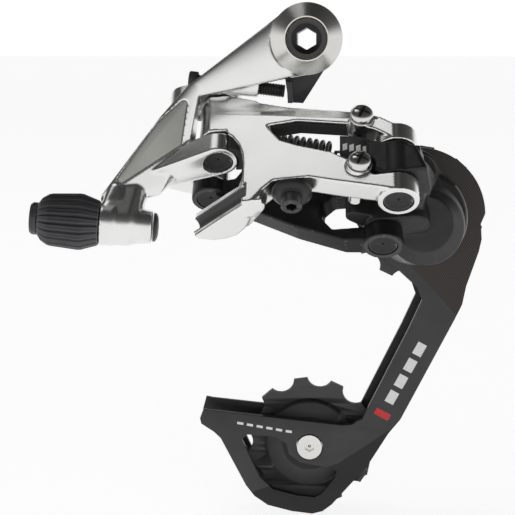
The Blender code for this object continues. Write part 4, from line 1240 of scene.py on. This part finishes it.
# ------------------------------------ pulleys

SEAT_POINTS = 13
HUB_R = 14.6
BORE_R = 7.3
UPPER_TOOTH = 15.7  # degrees from the front to a tooth
LOWER_TOOTH = 98.1


def tooth_outline(centre, first_tooth):
    """Outline of the toothed ring: round roller seats with flat-topped teeth between them."""
    pitch = 360 / TEETH
    reach = acos((PITCH_R**2 + ROLLER_R**2 - TIP_R**2) / (2 * PITCH_R * ROLLER_R))
    points = []
    for k in range(TEETH):
        seat = radians(first_tooth + pitch * (k + 0.5))
        middle = (centre[0] + PITCH_R * cos(seat), centre[1] + PITCH_R * sin(seat))
        for j in range(SEAT_POINTS):
            angle = seat + pi + reach - 2 * reach * j / (SEAT_POINTS - 1)
            points.append((middle[0] + ROLLER_R * cos(angle), middle[1] + ROLLER_R * sin(angle)))
    return points


def pulley(prefix, centre, first_tooth):
    z = -PULLEY_Y
    teeth = plate("teeth", tooth_outline(centre, first_tooth), SIDE, z - 1.0, z + 1.0)
    outside = [(HUB_R - 1.2, z + 1.9), (HUB_R, z + 1.0), (HUB_R, z - 1.0), (HUB_R - 1.2, z - 1.9)]
    hub = turned("hub", [*outside, (BORE_R, z - 1.9), (BORE_R, z + 1.9)], SIDE, centre, LARGE)
    bore = rod("bore", SIDE, centre, BORE_R + 0.01, z - 3, z + 3, LARGE)
    piece(eased(unite(cut(teeth, bore), hub), 0.2), PULLEY, prefix + "_pulley")
    for side, near, far in (("outer", z + 2.2, z + 3.0), ("inner", z - 3.0, z - 2.2)):
        name = f"{prefix}_{side}_cover"
        cover = ring(name, SIDE, centre, 4.5, 8.6, near, far, LARGE)
        piece(eased(cover, 0.15), BLACK, name)


# ------------------------------------ build


def dress_remaining_nodes():
    """Give every CAD node that still shows its material."""
    looks = {
        "plated_steel": STEEL,
        "black_anodised": BLACK,
        "black_steel": BLACK_STEEL,
        "bush_bronze": BRONZE,
        "seal_rubber": RUBBER_AND_SHADE,
        "forged_aluminium": SILVER,
        "adjuster_polymer": POLYMER,
        "pulley_polymer": PULLEY,
        "carbon_plate": CARBON,
    }
    for node, obj in frame["nodes"].items():
        dress(obj, looks[SLOT[node]], CAD_SMOOTH)


camera()
lights()
stage()
dress_remaining_nodes()
hanger_pieces()
b_knuckle()
cable_pieces()
b_screw()
outer_link()
anchor_pieces()
limit_screw("high_limit_screw", HIGH_AXIS, HIGH_LENGTH)
limit_screw("low_limit_screw", LOW_AXIS, LOW_LENGTH)
inner_link()
p_knuckle()
p_knuckle_pieces()
return_spring()
pin("pivot_pin_a", PIN_A, A_FORK[0] + 0.4, -12.9)
for letter, centre, fork in (("b", PIN_B, B_FORK), ("c", PIN_C, C_FORK), ("d", PIN_D, D_FORK)):
    pin("pivot_pin_" + letter, centre, fork[0] + 0.4, fork[3] - 0.4)
cage_pieces()
cage_marks()
pulley("upper", UPPER, UPPER_TOOTH)
pulley("lower", LOWER, LOWER_TOOTH)
